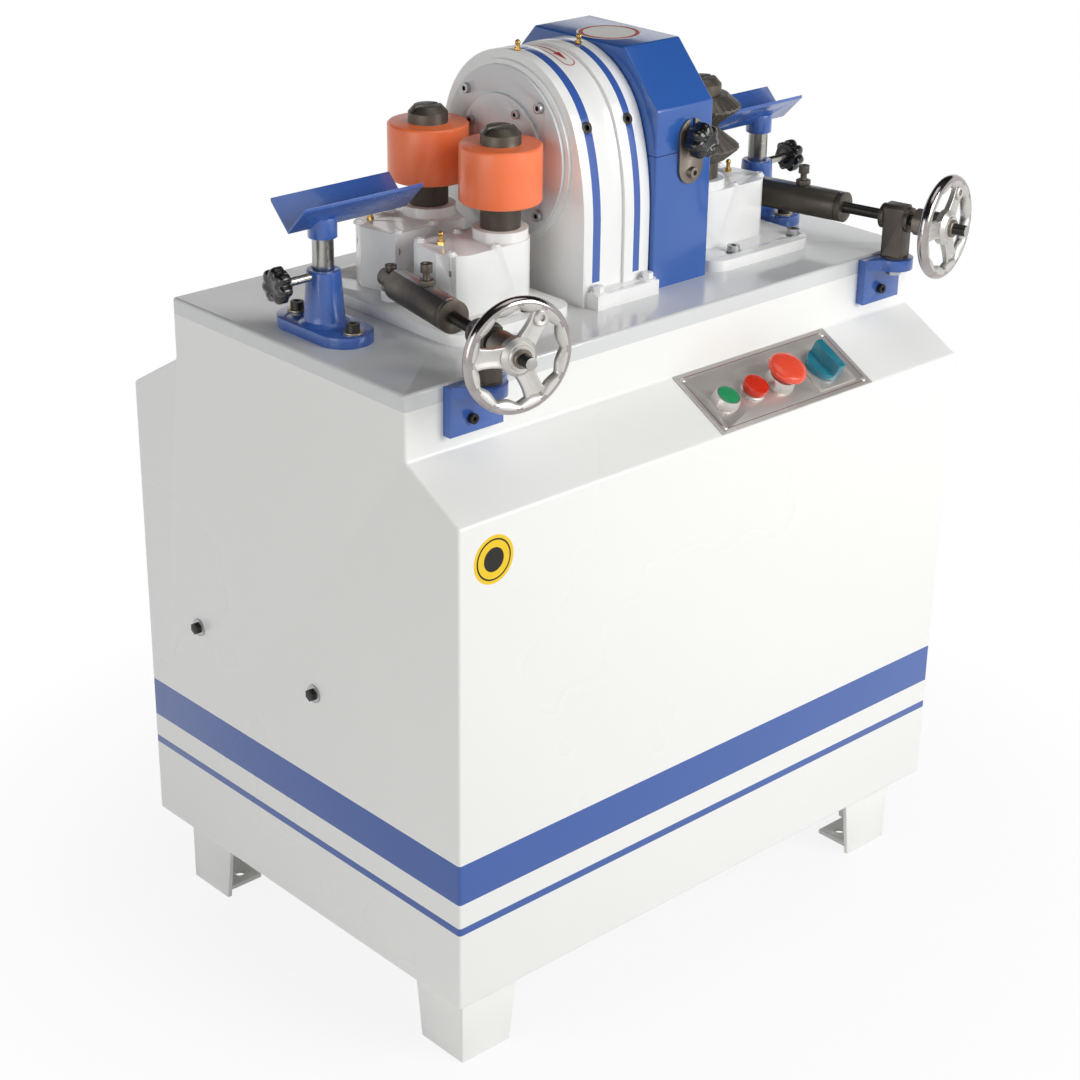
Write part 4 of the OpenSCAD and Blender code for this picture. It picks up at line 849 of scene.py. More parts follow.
@dataclass
class Panel:
    """The sloping control panel and what is on it."""

    slope: float = math.atan2(49, 89)
    width: float = 270 * MM
    length: float = math.hypot(49, 89) * MM
    centre_x: float = 122
    control_x: tuple[float, ...] = (27, 75, 123, 202)
    controls_up: float = 44
    hole_r: float = 14.2 * MM
    border: float = 7.5 * MM
    ink: float = 0.8 * MM

    @property
    def normal(self) -> Vector:
        """The direction out of the panel."""
        return Vector((0, -math.sin(self.slope), math.cos(self.slope)))

    def spot(self, x: float, up: float, lift: float) -> Vector:
        """Gives a place on the panel.

        Args:
            x: Place along X, in millimetres.
            up: Distance up the slope, in millimetres.
            lift: Height above the cabinet's slope, in millimetres.

        Returns:
            The point in the frame.
        """
        foot = at(x, -307, 729)
        return foot + Vector((0, math.cos(self.slope), math.sin(self.slope))) * up * MM + self.normal * lift * MM

    def border_line(self) -> None:
        """Prints the thin red line round the panel: a frame of four mitred bars."""
        half_x, half_y = self.width / 2 - self.border, self.length / 2 - self.border
        bars = []
        for sx, sy, along in ((0, 1, True), (0, -1, True), (1, 0, False), (-1, 0, False)):
            long_half = half_x if along else half_y
            w = self.ink / 2
            points = [(-long_half - w, -w), (long_half + w, -w), (long_half - w, w), (w - long_half, w)]
            bar = outline_plate(points, 0.12 * MM)
            turn = {(0, 1): math.pi, (0, -1): 0.0, (1, 0): math.pi / 2, (-1, 0): -math.pi / 2}[(sx, sy)]
            bar.data.transform(Matrix.Translation((sx * half_x, sy * half_y, 0)) @ Matrix.Rotation(turn, 4, "Z"))
            bars.append(bar)
        frame_line = join(bars)
        paint(frame_line, PANEL_INK)
        place(frame_line, self.spot(self.centre_x, self.length / MM / 2, 2.0), self.normal, X)
        settle(frame_line, "panel_border_line", "machine", SLOT_OF["control_panel"])

    def build(self) -> None:
        """Dresses the plate, the lamp, the buttons and the selector."""
        dress("control_panel", 0.5 * MM, BRUSHED_STEEL)
        dress("power_lamp", 1.5 * MM, RED_LENS)
        dress("start_button", 0.8 * MM, GREEN_CAP)
        dress("stop_button", 0.8 * MM, RED_CAP)
        dress("selector_knob", 2.0 * MM, TEAL_CLEAR)
        self.border_line()


@dataclass
class CutterHead:
    """The ribbed head casting with its covers, spindle, belts and motor."""

    def build(self) -> None:
        """Dresses the head and everything on the spindle's and the motor's axes."""
        dress("head_housing", 3.0 * MM, HEAD_ENAMEL)
        dress("head_cover", 1.2 * MM, COVER_ENAMEL)
        dress("bearing_cap", 1.0 * MM, COVER_ENAMEL)
        dress("spindle", 0.8 * MM, BLACK_OXIDE)
        dress("cutter_knives", 0.2 * MM, GROUND_BAR)
        dress("spindle_pulley", 0.5 * MM, MACHINED_IRON)
        dress("motor_pulley", 0.5 * MM, MACHINED_IRON)
        dress("main_motor", 3.0 * MM, MOTOR_PAINT)
        dress("feed_gearmotor", 3.0 * MM, MOTOR_PAINT)
        dress("drive_belts", 0.5 * MM, RUBBER)
        dress("spindle_bearings", 0.4 * MM, GROUND_BAR)
        dress("grease_nipples", 0.3 * MM, BRASS)
        self.arrow()

    def arrow(self) -> None:
        """Lays the pill-shaped direction sticker over the top of the head, with a plain arrow."""
        half, radius = 37 * MM, HEAD_WEB_R + 0.1 * MM
        parts = []
        pill = [(half * math.copysign(1, math.cos(a)) + 9.5 * MM * math.cos(a), 9.5 * MM * math.sin(a))
                for a in [math.tau * (i + 0.5) / 48 for i in range(48)]]
        parts.append((pill, 0.1, STICKER_RED))
        parts.append(([(x * 0.97, y * 0.88) for x, y in pill], 0.16, STICKER_WHITE))
        shaft = [(-30, -1.5), (16, -1.5), (16, -5), (36, 0), (16, 5), (16, 1.5), (-30, 1.5)]
        parts.append(([(x * MM, y * MM) for x, y in shaft], 0.22, STICKER_RED))
        layers = []
        for points, lift, finish in parts:
            plate = outline_plate(points, lift * MM)
            edit_all(plate)
            for station in range(-44, 45, 4):
                bpy.ops.mesh.select_all(action="SELECT")
                bpy.ops.mesh.bisect(plane_co=(station * MM, 0, 0), plane_no=(1, 0, 0))
            leave_edit(clear=False)
            for vertex in plate.data.vertices:
                angle = math.radians(86) - vertex.co.x / radius
                reach = radius + vertex.co.z
                vertex.co = at(-29 - vertex.co.y / MM, 0, 1022) + Vector(
                    (0, reach * math.cos(angle) * -1, reach * math.sin(angle)))
            paint(plate, finish)
            layers.append(plate)
        settle(join(layers), "direction_sticker", "machine", SLOT_OF["head_housing"])


@dataclass
class Fasteners:
    """All the loose screws, each finished as its place on the machine asks."""

    socket_r: float = 4.15 * MM
    pad_z: float = 870
    washer: float = 2
    side_x: float = 425
    finishes: tuple[Finish, ...] = (SCREW_BLACK, BRIGHT_ZINC, ZINC, CAST_ENAMEL, SOCKET_PAINTED_SHADE)

    def islands(self, piece: bpy.types.Object) -> list[list[int]]:
        """Finds the separate screws in one mesh.

        Args:
            piece: The mesh object.

        Returns:
            For each screw, the numbers of its faces.
        """
        root = list(range(len(piece.data.vertices)))

        def find(vertex: int) -> int:
            """Follows a vertex to the one that stands for its screw."""
            while root[vertex] != vertex:
                root[vertex] = root[root[vertex]]
                vertex = root[vertex]
            return vertex

        for edge in piece.data.edges:
            root[find(edge.vertices[0])] = find(edge.vertices[1])
        groups: dict[int, list[int]] = {}
        for face in piece.data.polygons:
            groups.setdefault(find(face.vertices[0]), []).append(face.index)
        return list(groups.values())

    def kind(self, centre: Vector) -> tuple[int, Finish]:
        """Tells how a screw stands and what its head is finished in.

        Args:
            centre: The middle of the screw's box.

        Returns:
            The number of the coordinate that its axis runs along, and the finish.
        """
        x, y, z = (centre - ORIGIN) / MM
        if abs(x) > self.side_x - 10:
            return 0, SCREW_BLACK
        if x < -80 and abs(x) < 130:
            return 0, BRIGHT_ZINC
        if y < -218:
            return 1, SCREW_BLACK
        if abs(x) > 340 or z > 1000:
            return 2, SCREW_BLACK
        return 2, CAST_ENAMEL if abs(x) < 80 else BRIGHT_ZINC

    def build(self) -> None:
        """Paints each screw of the node, with painted shade in its socket and yellow or bright washers."""
        piece = merged_copy("fasteners")
        paint(piece, *self.finishes)
        for faces in self.islands(piece):
            corners = [piece.data.vertices[i].co for f in faces for i in piece.data.polygons[f].vertices]
            low = Vector([min(c[k] for c in corners) for k in range(3)])
            high = Vector([max(c[k] for c in corners) for k in range(3)])
            centre = (low + high) / 2
            axis, head = self.kind(centre)
            for number in faces:
                face = piece.data.polygons[number]
                points = [piece.data.vertices[i].co for i in face.vertices]
                reach = max(math.dist([p[k] for k in range(3) if k != axis], [centre[k] for k in range(3) if k != axis])
                            for p in points)
                # Faces inside the socket are painted dark, as painted shade.
                finish = SOCKET_PAINTED_SHADE if reach < self.socket_r else head
                if abs(centre.x - ORIGIN.x) > 340 * MM and self.on_washer(points):
                    finish = ZINC if axis == 2 else BRIGHT_ZINC
                face.material_index = self.finishes.index(finish)
        finish_mesh(piece, 0.4 * MM)
        settle(piece, "fasteners_dressed", BODY_OF["fasteners"], SLOT_OF["fasteners"], "fasteners")

    def on_washer(self, points: list[Vector]) -> bool:
        """Tells the faces of a trough base's or a side bolt's washer.

        Args:
            points: The face's corners.

        Returns:
            Whether the face is a washer's.
        """
        spots = [(p - ORIGIN) / MM for p in points]
        if all(abs(p.x) > self.side_x - 0.1 for p in spots):
            return all(abs(p.x) < self.side_x + self.washer + 0.1 for p in spots)
        return all(self.pad_z - 0.1 < p.z < self.pad_z + self.washer + 0.1 for p in spots)


@dataclass
class Hood:
    """The split belt hood with its latch."""

    x0: float = 30
    x1: float = 125
    half: float = 138
    top_half: float = 78
    foot_z: float = 857
    axis_z: float = 1022
    shoulder: float = 55
    rise: float = 121
    split: float = 0.45
    wall: float = 3 * MM
    fold: float = 2.5 * MM
    spindle_hole: float = 52 * MM
    stock_hole: float = 30 * MM
    hinge_y: float = 143
    hinge_rise: float = 45
    latch_x: float = 87.5

    def openings(self) -> list[bpy.types.Object]:
        """Makes the round solids that open both side plates round the feed axis."""
        return [rod(self.spindle_hole, at(self.x0 - 2, 0, self.axis_z), at(self.x0 + 6, 0, self.axis_z), 96),
                rod(self.stock_hole, at(self.x1 - 6, 0, self.axis_z), at(self.x1 + 2, 0, self.axis_z), 96)]

    def knuckle(self, x: float, upper: bool) -> list[bpy.types.Object]:
        """Models one hinge knuckle with its strap.

        Args:
            x: Where it starts along X, in millimetres.
            upper: Whether it belongs to the lifting half.

        Returns:
            The barrel, its straps and, on the lower half, the pin.
        """
        barrel = rod(4.5 * MM, at(x, self.hinge_y, self.axis_z + self.hinge_rise),
                     at(x + 11.7, self.hinge_y, self.axis_z + self.hinge_rise), 32)
        if upper:
            strap = block(at(x, self.half - 0.5, self.axis_z + self.hinge_rise - 3),
                          at(x + 11.7, self.half + 5, self.axis_z + self.hinge_rise + 3))
            return [barrel, strap]
        strap = block(at(x, self.half + 0.4, self.axis_z - 16),
                      at(x + 11.7, self.half + 3.4, self.axis_z + self.hinge_rise))
        pad = block(at(x, self.half - 0.5, self.axis_z - 16), at(x + 11.7, self.half + 2.5, self.axis_z - 2))
        pin = rod(2 * MM, at(x - 12, self.hinge_y, self.axis_z + self.hinge_rise),
                  at(x + 6, self.hinge_y, self.axis_z + self.hinge_rise), 24)
        return [barrel, strap, pad, pin]

    def halves(self) -> None:
        """Folds the fixed and the lifting half of the hood."""
        h, z = self.half, self.axis_z
        low = [(-h, self.foot_z - 12), (-h, z + 12), (h, z + 12), (h, self.foot_z - 12)]
        high = [(-h, z - 12), (-h, z + self.shoulder), (-self.top_half, z + self.rise), (self.top_half, z + self.rise),
                (h, z + self.shoulder), (h, z - 12)]
        for node, outline, below, above, upper in (("hood_lower", low, self.foot_z, z - self.split, False),
                                                   ("hood_upper", high, z + self.split, None, True)):
            shell = folded_shell(outline, (self.x0, self.x1), self.wall, self.fold, below, above)
            tools = self.openings()
            if not upper:
                tools.append(rod(4.3 * MM, at(self.latch_x, -h - 4, z - 27), at(self.latch_x, -h + 6, z - 27), 32))
            shell = cut(shell, *tools)
            fittings = [piece for x in (self.x0 + 12, self.x1 - 36)
                        for piece in self.knuckle(x if upper else x + 12, upper)]
            if upper:
                fittings.append(rod(4 * MM, at(self.latch_x, -h + 0.5, z + 15), at(self.latch_x, -h - 19.5, z + 15), 32))
            for fitting in fittings:
                finish_mesh(fitting, 0.4 * MM)
            whole = join([finish_mesh(shell)] + fittings)
            paint(whole, SHEET_BLUE)
            settle(whole, node + "_sheet", BODY_OF[node], SLOT_OF[node], node)

    def build(self) -> None:
        """Models both halves, adds the plain oval sticker and the star knob."""
        self.halves()
        dress("latch_plate", 0.6 * MM, OILED_STRAP)
        self.oval()
        knob = StarKnob(radius=22 * MM, height=20 * MM, neck_r=12 * MM, neck=8 * MM)
        knob.build("latch_star_knob", "latch_knob", at(self.latch_x, -141.8, 1037), -Y)

    def oval(self) -> None:
        """Lays a plain oval sticker on the hood's top."""
        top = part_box("hood_upper")[1].z
        layers = []
        for size, lift, finish in ((1.0, 0.12, STICKER_WHITE), (0.93, 0.2, STICKER_RED),
                                   (0.8, 0.26, STICKER_WHITE)):
            plate = outline_plate(ring_points(40 * MM * size, 64), lift * MM)
            paint(plate, finish)
            layers.append(place(plate, Vector((at(74, 0, 0).x, at(0, -8, 0).y, top)), Z,
                                X))
        settle(join(layers), "hood_oval_sticker", "hood", SLOT_OF["hood_upper"])


@dataclass
class StarKnob:
    """A moulded grip with round lobes on a round neck."""

    radius: float
    height: float
    neck_r: float
    neck: float
    lobes: int = 7
    groove: float = 0.24
    valley: float = 0.03
    crown: tuple[tuple[float, float], ...] = ((0.2, 0.95), (0.14, 0.86), (0.06, 0.7), (-0.07, 0.86))

    def build(self, name: str, node: str, foot: Vector, axis: Vector) -> bpy.types.Object:
        """Models the knob and sets it on its stud.

        Args:
            name: The piece's name.
            node: The CAD node that it replaces.
            foot: The middle of the neck's end.
            axis: The direction from there to the grip's face.

        Returns:
            The finished knob.
        """
        steps = self.lobes * 20
        points = []
        for turn in (math.tau * i / steps for i in range(steps)):
            wave = math.sqrt((math.cos(self.lobes * turn / 2) ** 2 + self.valley) / (1 + self.valley))
            reach = self.radius * (1 - self.groove + self.groove * wave)
            points.append((reach * math.cos(turn), reach * math.sin(turn)))
        grip = outline_plate(points, self.height * 0.6)
        grip.data.transform(Matrix.Translation((0, 0, self.neck)))
        bpy.ops.object.mode_set(mode="EDIT")
        bpy.ops.mesh.select_mode(type="FACE")
        bpy.ops.mesh.select_all(action="DESELECT")
        bpy.ops.object.mode_set(mode="OBJECT")
        for face in grip.data.polygons:
            face.select = face.normal.z > 0.9
        bpy.ops.object.mode_set(mode="EDIT")
        for rise, share in self.crown:
            bpy.ops.mesh.extrude_region_move(TRANSFORM_OT_translate={"value": (0, 0, rise * self.height)})
            bpy.ops.transform.resize(value=(share, share, 1), center_override=(0, 0, 0))
        leave_edit()
        finish_mesh(grip, 0.7 * MM, 2, 70, 50)
        disc, back = 0.8 * self.radius, max(self.neck - 3 * MM, 1 * MM)
        neck = lathe([(0, 0), (self.neck_r * 0.9, 0), (self.neck_r, 0.5 * MM), (self.neck_r, back),
                      (disc - 0.8 * MM, back), (disc, back + 0.8 * MM), (disc, self.neck + 0.3 * MM),
                      (0, self.neck + 0.3 * MM)])
        knob = join([grip, finish_mesh(neck, 0.0)])
        paint(knob, BAKELITE)
        place(knob, foot, axis, Z if abs(axis.z) < 0.9 else X)
        return settle(knob, name, BODY_OF[node], SLOT_OF[node], node)


@dataclass
class Handwheel:
    """A plated cast handwheel: a buffed rim waved inside for the fingers, three spokes and a hub."""

    side: Side
    tilt: float = math.radians(12)
    ring_r: float = 59 * MM
    rim_r: float = 7 * MM
    hub_r: float = 17 * MM
    hub_in: float = 39 * MM
    turn: float = math.radians(55)
    waves: int = 12
    post_y: float = -240
    tube_z: float = 907
    reach: float = 66 * MM
    post_nut_z: float = 842.2
    post_shank_r: float = 8.2 * MM
    tube_top_z: float = 925.1

    def spoke(self, angle: float) -> bpy.types.Object:
        """Models one spoke from a cube: flat, waisted, and spread where it meets the rim.

        Args:
            angle: Its direction in the wheel's plane.

        Returns:
            The spoke.
        """
        clear_selection()
        bpy.ops.mesh.primitive_cube_add(size=1)
        bar = bpy.context.active_object
        length = self.ring_r - self.hub_r + 6 * MM
        bar.data.transform(Matrix.Translation((self.hub_r + length / 2 - 5 * MM, 0, 0)) @
                           Matrix.Diagonal((length, 19 * MM, 7 * MM, 1)))
        edit_all(bar)
        bpy.ops.mesh.subdivide(number_cuts=6)
        leave_edit(clear=False)
        start, end = self.hub_r - 5 * MM, self.ring_r
        for vertex in bar.data.vertices:
            share = min(max((vertex.co.x - start) / (end - start), 0), 1)
            width = 1.35 - 0.75 * share + 1.1 * share ** 3
            hollow = 0.62 if abs(vertex.co.y) < 5 * MM and 0.05 < share < 0.92 else 1.0
            vertex.co.y *= width
            vertex.co.z *= (1.15 - 0.35 * share) * hollow
        finish_mesh(bar, 0.9 * MM, 2, 55, 60)
        bar.data.transform(Matrix.Rotation(angle, 4, "Z"))
        return bar

    def rim(self) -> bpy.types.Object:
        """Models the rim from a torus whose inner side is drawn in waves and left rough.

        Returns:
            The rim.
        """
        clear_selection()
        bpy.ops.mesh.primitive_torus_add(major_radius=self.ring_r, minor_radius=self.rim_r,
                                         major_segments=180, minor_segments=20)
        rim = bpy.context.active_object
        for vertex in rim.data.vertices:
            flat = Vector((vertex.co.x, vertex.co.y))
            inward = self.ring_r - flat.length
            if inward > 0:
                angle = math.atan2(flat.y, flat.x)
                wave = abs(math.sin(self.waves * angle / 2))
                grown = flat.normalized() * (self.ring_r - inward * (0.85 + 0.65 * wave))
                vertex.co.x, vertex.co.y = grown.x, grown.y
        paint(rim, CHROME_RIM, CHROME_CAST)
        for face in rim.data.polygons:
            reach = min(piece.xy.length for piece in (rim.data.vertices[i].co for i in face.vertices))
            face.material_index = int(reach < self.ring_r - 0.35 * self.rim_r)
        return finish_mesh(rim, 0.0, smooth=60)

    def build(self) -> None:
        """Models the wheel, leaves the CAD's own place and tilt, and dresses the rod."""
        s = self.side.value
        node = self.side.word + "_handwheel"
        rim = self.rim()
        hub_r, hub_in = self.hub_r, self.hub_in
        hub = lathe([(8 * MM, -10 * MM), (14 * MM, -10 * MM), (15 * MM, -8.5 * MM), (hub_r, -8.5 * MM),
                     (hub_r + 3 * MM, -6 * MM), (hub_r + 5 * MM, -4 * MM), (hub_r + 5 * MM, 4 * MM),
                     (hub_r, 6 * MM), (hub_r, hub_in - 1 * MM), (hub_r - 1 * MM, hub_in),
                     (7.2 * MM, hub_in), (7.2 * MM, -9 * MM), (8 * MM, -10 * MM)])
        paint(finish_mesh(hub, 0.0), CHROME_CAST, OILED_STRAP)
        for face in hub.data.polygons:
            face.material_index = int(face.center.z > 6.5 * MM)
        boss = lathe([(4 * MM, -5 * MM), (7.5 * MM, -5.6 * MM), (9 * MM, -4.6 * MM), (9.5 * MM, 0),
                      (8.5 * MM, 4.5 * MM), (4 * MM, 4.5 * MM), (4 * MM, -5 * MM)], 32)
        finish_mesh(boss, 0.0)
        boss.data.transform(Matrix.Rotation(-self.turn, 4, "Z") @ Matrix.Translation((self.ring_r * 0.8, 0, 0)))
        spokes = [self.spoke(-self.turn + math.tau * k / 3) for k in range(3)]
        for piece in [boss] + spokes:
            paint(piece, CHROME_CAST)
        washer = lathe([(7.2 * MM, -14 * MM), (10 * MM, -14 * MM), (11 * MM, -13 * MM), (11 * MM, -10 * MM),
                        (7.2 * MM, -10 * MM), (7.2 * MM, -14 * MM)], 32)
        paint(finish_mesh(washer, 0.0), OILED_STRAP)
        wheel = join([rim, hub, boss, washer] + spokes)
        inward = Vector((-s * math.sin(self.tilt), math.cos(self.tilt), 0))
        post = at(sides_of(self.side, -327, 366), self.post_y, self.tube_z)
        tip = post - inward * self.reach
        place(wheel, tip, inward, Vector((math.cos(self.tilt), s * math.sin(self.tilt), 0)))
        settle(wheel, node + "_cast", BODY_OF[node], SLOT_OF[node], node)
        seat = self.post_nut_z * MM

        def on_end(corners: list[Vector]) -> int:
            """Gives 1 on the rod's sawn end, beyond the wheel."""
            return int(all((c - tip).dot(inward) < -14.2 * MM for c in corners)
                       and max(c.z for c in corners) - min(c.z for c in corners) > 4 * MM
                       and max((c - corners[0]).dot(inward) for c in corners) < 0.1 * MM)

        def on_nut(corners: list[Vector]) -> int:
            """Gives 1 on the hexagon nut under the bracket's shelf."""
            return int(all(c.z < seat for c in corners)
                       and max((c - post).xy.length for c in corners) > self.post_shank_r)

        def on_stop(corners: list[Vector]) -> int:
            """Gives 1 on the lock nut of the screw that stands up from the tube."""
            far = [(c - ORIGIN).z / MM for c in corners]
            return int(min(far) > self.tube_top_z and max(far) < self.tube_top_z + 6.5)

        word = self.side.word
        dress(word + "_feed_rod", 0.8 * MM, SCREW_BLACK, GROUND_BAR, choose=on_end)
        dress(word + "_spring_tube", 1.2 * MM, BLACK_OXIDE, BRIGHT_ZINC, choose=on_stop)
        dress(word + "_swivel_post", 1.6 * MM, BLACK_OXIDE, BRIGHT_ZINC, choose=on_nut)
        dress(word + "_spring", 0.3 * MM, SCREW_BLACK)


@dataclass
class Feeder:
    """One end's pair of geared arms with their rollers."""

    side: Side
    arm_y: float = 65
    cover_z: float = 945
    nipple_x: float = 5
    nipple_y: float = 19
    nipple_r: float = 6.5 * MM

    def nipple(self, row: int) -> Chooser:
        """Tells the brass grease nipple on a case's cover from the enamelled casting.

        Args:
            row: -1 for the front arm and 1 for the back one.

        Returns:
            A chooser that gives 1 on the nipple.
        """
        pivot = sides_of(self.side, -222, 252)
        spot = at(pivot + self.side.value * self.nipple_x, row * self.arm_y + self.nipple_y, self.cover_z)

        def choose(corners: list[Vector]) -> int:
            return int(all((c - spot).xy.length < self.nipple_r and c.z > spot.z - 0.01 * MM for c in corners)
                       and max(c.z for c in corners) > spot.z + 0.5 * MM)

        return choose

    def build(self) -> None:
        """Dresses the cases, the drives and the rollers of both arms."""
        for row, spot in ((-1, "front"), (1, "back")):
            stem = f"{self.side.word}_{spot}_"
            dress(stem + "case", 2.2 * MM, CAST_ENAMEL, BRASS, choose=self.nipple(row))
            dress(stem + "drive", 0.4 * MM, BLACK_OXIDE)
            if self.side is Side.LEFT:
                dress(stem + "roller", 0.7 * MM, BLACK_OXIDE, POLYURETHANE, choose=self.tyre(stem + "roller"))
            else:
                dress(stem + "roller", 0.25 * MM, BLACK_OXIDE, MILLED_STEEL, smooth=14,
                      choose=self.teeth(stem + "roller"))

    def teeth(self, node: str) -> Chooser:
        """Tells the milled ridges of an infeed roller from the black steel above and below them.

        Args:
            node: The roller's CAD node.

        Returns:
            A chooser that gives 1 on the ridges.
        """
        low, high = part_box(node)
        axis = (low + high) / 2

        def choose(corners: list[Vector]) -> int:
            reach = max(math.hypot(c.x - axis.x, c.y - axis.y) for c in corners)
            return int(reach > 25 * MM)

        return choose

    def tyre(self, node: str) -> Chooser:
        """Tells the orange tyre of an outfeed roller from the dark steel that it is cast round.

        Args:
            node: The roller's CAD node.

        Returns:
            A chooser that gives 1 on the tyre.
        """
        low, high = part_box(node)
        axis = (low + high) / 2
        top = high.z - 20 * MM
        foot = top - 68 * MM

        def choose(corners: list[Vector]) -> int:
            reach = max(math.hypot(c.x - axis.x, c.y - axis.y) for c in corners)
            return int(reach > 21 * MM and all(foot - 0.1 * MM < c.z < top + 0.1 * MM for c in corners))

        return choose


@dataclass
class Trough:
    """One end's V trough on its rod, with its clamp."""

    side: Side
    post_x: float = 363
    clamp_z: float = 927
    rod_r: float = 13 * MM
    rod_down: float = 46.9 * MM

    def build(self) -> None:
        """Dresses the trough, with its rod left bright, and models the clamp's knob."""
        node = self.side.word + "_trough"
        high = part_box(node)[1].z
        axis = at(self.side.value * self.post_x, 0, 0)

        def choose(corners: list[Vector]) -> int:
            reach = max(math.hypot(c.x - axis.x, c.y - axis.y) for c in corners)
            return int(reach < self.rod_r and all(c.z < high - self.rod_down for c in corners))

        dress(node, 0.6 * MM, CAST_BLUE, GROUND_BAR, choose=choose)
        self.clamp()

    def clamp(self) -> None:
        """Models the clamp's star knob on its bright screw."""
        s = self.side.value
        node = self.side.word + "_clamp_knob"
        post = at(s * self.post_x, 0, self.clamp_z)
        axis = Vector((s, 0, 0))
        screw = lathe([(0, 0), (4.2 * MM, 0), (5 * MM, 0.8 * MM), (5 * MM, 46 * MM), (0, 46 * MM)], 32)
        paint(finish_mesh(screw, 0.0), GROUND_BAR)
        place(screw, post + axis * 13 * MM, axis, Z)
        settle(screw, node + "_screw", BODY_OF[node], SLOT_OF[node])
        knob = StarKnob(radius=21.5 * MM, height=16 * MM, neck_r=10 * MM, neck=4 * MM)
        knob.build(node + "_star", node, post + axis * 55 * MM, axis)


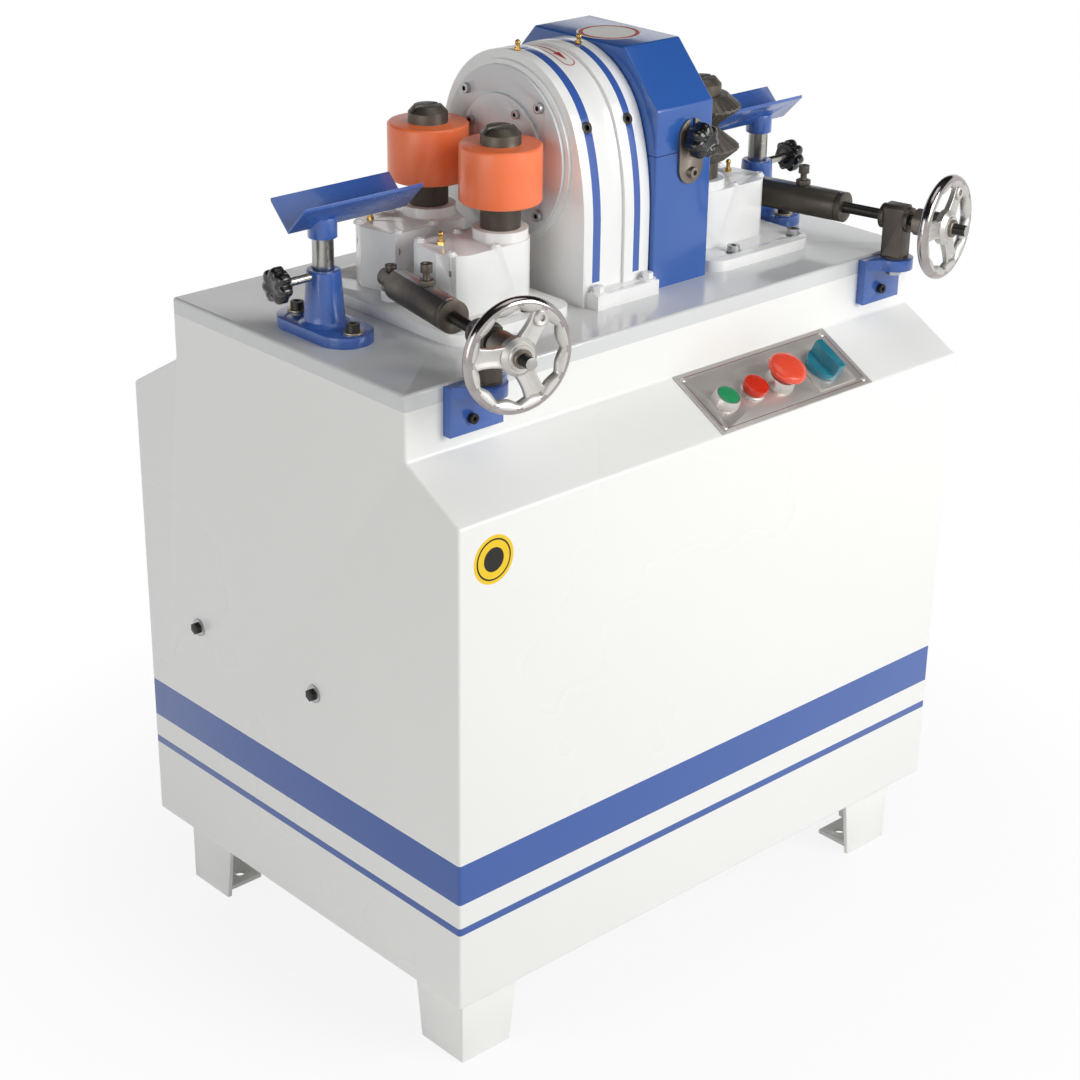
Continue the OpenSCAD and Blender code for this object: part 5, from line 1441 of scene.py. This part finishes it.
@dataclass
class Studio:
    """The pale floor, the soft lamps and the camera."""

    camera_at: Vector = field(default_factory=lambda: at(-1906.06, -2027.27, 1755.73))
    camera_turn: tuple[float, float, float] = (65.4501, -0.7304, -42.584)
    lens_mm: float = 77.673

    def camera(self) -> None:
        """Sets the camera where the photograph was taken from."""
        data = bpy.data.cameras.new("photo_camera")
        data.lens, data.sensor_width = self.lens_mm, 36.0
        data.clip_start, data.clip_end = 0.05, 60.0
        camera = bpy.data.objects.new("photo_camera", data)
        camera.location = self.camera_at
        camera.rotation_euler = tuple(math.radians(a) for a in self.camera_turn)
        bpy.context.scene.collection.objects.link(camera)
        bpy.context.scene.camera = camera

    def lamp(self, name: str, spot: tuple[float, float, float], size: float, power: float) -> None:
        """Hangs a soft square lamp that faces the machine.

        Args:
            name: The lamp's name.
            spot: Its place, in metres.
            size: Its side, in metres.
            power: Its power, in watts.
        """
        data = bpy.data.lights.new(name, "AREA")
        data.shape, data.size, data.energy = "SQUARE", size, power
        lamp = bpy.data.objects.new(name, data)
        lamp.location = spot
        lamp.rotation_mode = "QUATERNION"
        lamp.rotation_quaternion = (Vector((0, 0, 0.65)) - Vector(spot)).to_track_quat("-Z", "Y")
        bpy.context.scene.collection.objects.link(lamp)

    def floor(self) -> None:
        """Lays a pale floor that shows white to the camera but keeps the machine's shadow."""
        clear_selection()
        bpy.ops.mesh.primitive_plane_add(size=24, location=(0, 0, -0.0005))
        ground = bpy.context.active_object
        ground.name = "studio_floor"
        material = bpy.data.materials.new("studio_floor_paper")
        material.use_nodes = True
        tree = material.node_tree
        tree.nodes.clear()
        paper = add(tree, "ShaderNodeBsdfDiffuse", {"Color": linear("EEEEEE")})
        bright = add(tree, "ShaderNodeEmission", {"Color": (1, 1, 1, 1), "Strength": 1.0})
        spot = add(tree, "ShaderNodeTexCoord").outputs["Object"]
        reach = add(tree, "ShaderNodeVectorMath", {0: spot}, operation="LENGTH").outputs["Value"]
        fade = add(tree, "ShaderNodeMapRange", {"Value": reach, "From Min": 0.4, "From Max": 0.95,
                                                "To Min": 0.86, "To Max": 1.0})
        path = add(tree, "ShaderNodeLightPath")
        seen = add(tree, "ShaderNodeMath", {0: path.outputs["Is Camera Ray"], 1: path.outputs["Is Glossy Ray"]},
                   operation="MAXIMUM")
        share = add(tree, "ShaderNodeMath", {0: seen.outputs[0], 1: fade.outputs["Result"]}, operation="MULTIPLY")
        both = add(tree, "ShaderNodeMixShader", {0: share.outputs[0], 1: paper.outputs[0], 2: bright.outputs[0]})
        add(tree, "ShaderNodeOutputMaterial", {"Surface": both.outputs[0]})
        ground.data.materials.append(material)

    def ceiling(self) -> None:
        """Hangs a dark ceiling, unseen by the camera, which the tops of things reflect."""
        clear_selection()
        bpy.ops.mesh.primitive_plane_add(size=12, location=(0, 0, 3.6))
        board = bpy.context.active_object
        board.name = "studio_ceiling"
        material = bpy.data.materials.new("studio_ceiling_cloth")
        material.use_nodes = True
        tree = material.node_tree
        tree.nodes.clear()
        cloth = add(tree, "ShaderNodeBsdfDiffuse", {"Color": linear("3A3836")})
        clear = add(tree, "ShaderNodeBsdfTransparent")
        path = add(tree, "ShaderNodeLightPath")
        both = add(tree, "ShaderNodeMixShader",
                   {0: path.outputs["Is Camera Ray"], 1: cloth.outputs[0], 2: clear.outputs[0]})
        add(tree, "ShaderNodeOutputMaterial", {"Surface": both.outputs[0]})
        board.data.materials.append(material)

    def world(self) -> None:
        """Lights the room evenly and shows white where the camera and metal look past the floor."""
        world = bpy.data.worlds.new("studio_world")
        bpy.context.scene.world = world
        world.use_nodes = True
        tree = world.node_tree
        tree.nodes.clear()
        path = add(tree, "ShaderNodeLightPath")
        seen = add(tree, "ShaderNodeMath", {0: path.outputs["Is Camera Ray"], 1: path.outputs["Is Glossy Ray"]},
                   operation="MAXIMUM")
        both = add(tree, "ShaderNodeMath", {0: seen.outputs[0], 1: path.outputs["Is Transmission Ray"]},
                   operation="MAXIMUM")
        strength = add(tree, "ShaderNodeMapRange", {"Value": both.outputs[0], "To Min": 0.66, "To Max": 1.0})
        sky = add(tree, "ShaderNodeBackground", {"Color": (1, 1, 1, 1), "Strength": strength.outputs["Result"]})
        add(tree, "ShaderNodeOutputWorld", {"Surface": sky.outputs[0]})

    def build(self) -> None:
        """Sets the stage."""
        self.world()
        self.floor()
        self.ceiling()
        self.lamp("key_lamp", (1.1, -3.2, 2.2), 2.0, 88)
        self.lamp("side_lamp", (-3.4, -0.6, 1.5), 2.0, 26)
        self.lamp("top_lamp", (0.2, -0.6, 3.2), 1.6, 10)


def main() -> None:
    """Builds the stage and dresses the machine, one sub-assembly after another."""
    logging.basicConfig(level=logging.INFO, format="%(message)s")
    bpy.context.scene.view_settings.view_transform = "Standard"
    studio = Studio()
    studio.camera()
    studio.build()
    for part in (Cabinet(), Panel(), CutterHead(), Fasteners(), Hood(), Feeder(Side.LEFT), Feeder(Side.RIGHT),
                 Handwheel(Side.LEFT), Handwheel(Side.RIGHT), Trough(Side.LEFT), Trough(Side.RIGHT)):
        part.build()
        LOG.info("%s is dressed", type(part).__name__)
    spare = (block(at(-293, -232, 780), at(-280, -217.5, 870)), block(at(391, -232, 780), at(420, -217.5, 870)))
    dress("wheel_brackets", 2 * MM, CAST_BLUE, tools=spare)
    dress("feeder_bases", 2 * MM, CAST_ENAMEL)
    dress("trough_bases", 2 * MM, CAST_BLUE)


if __name__ == "__main__":
    main()
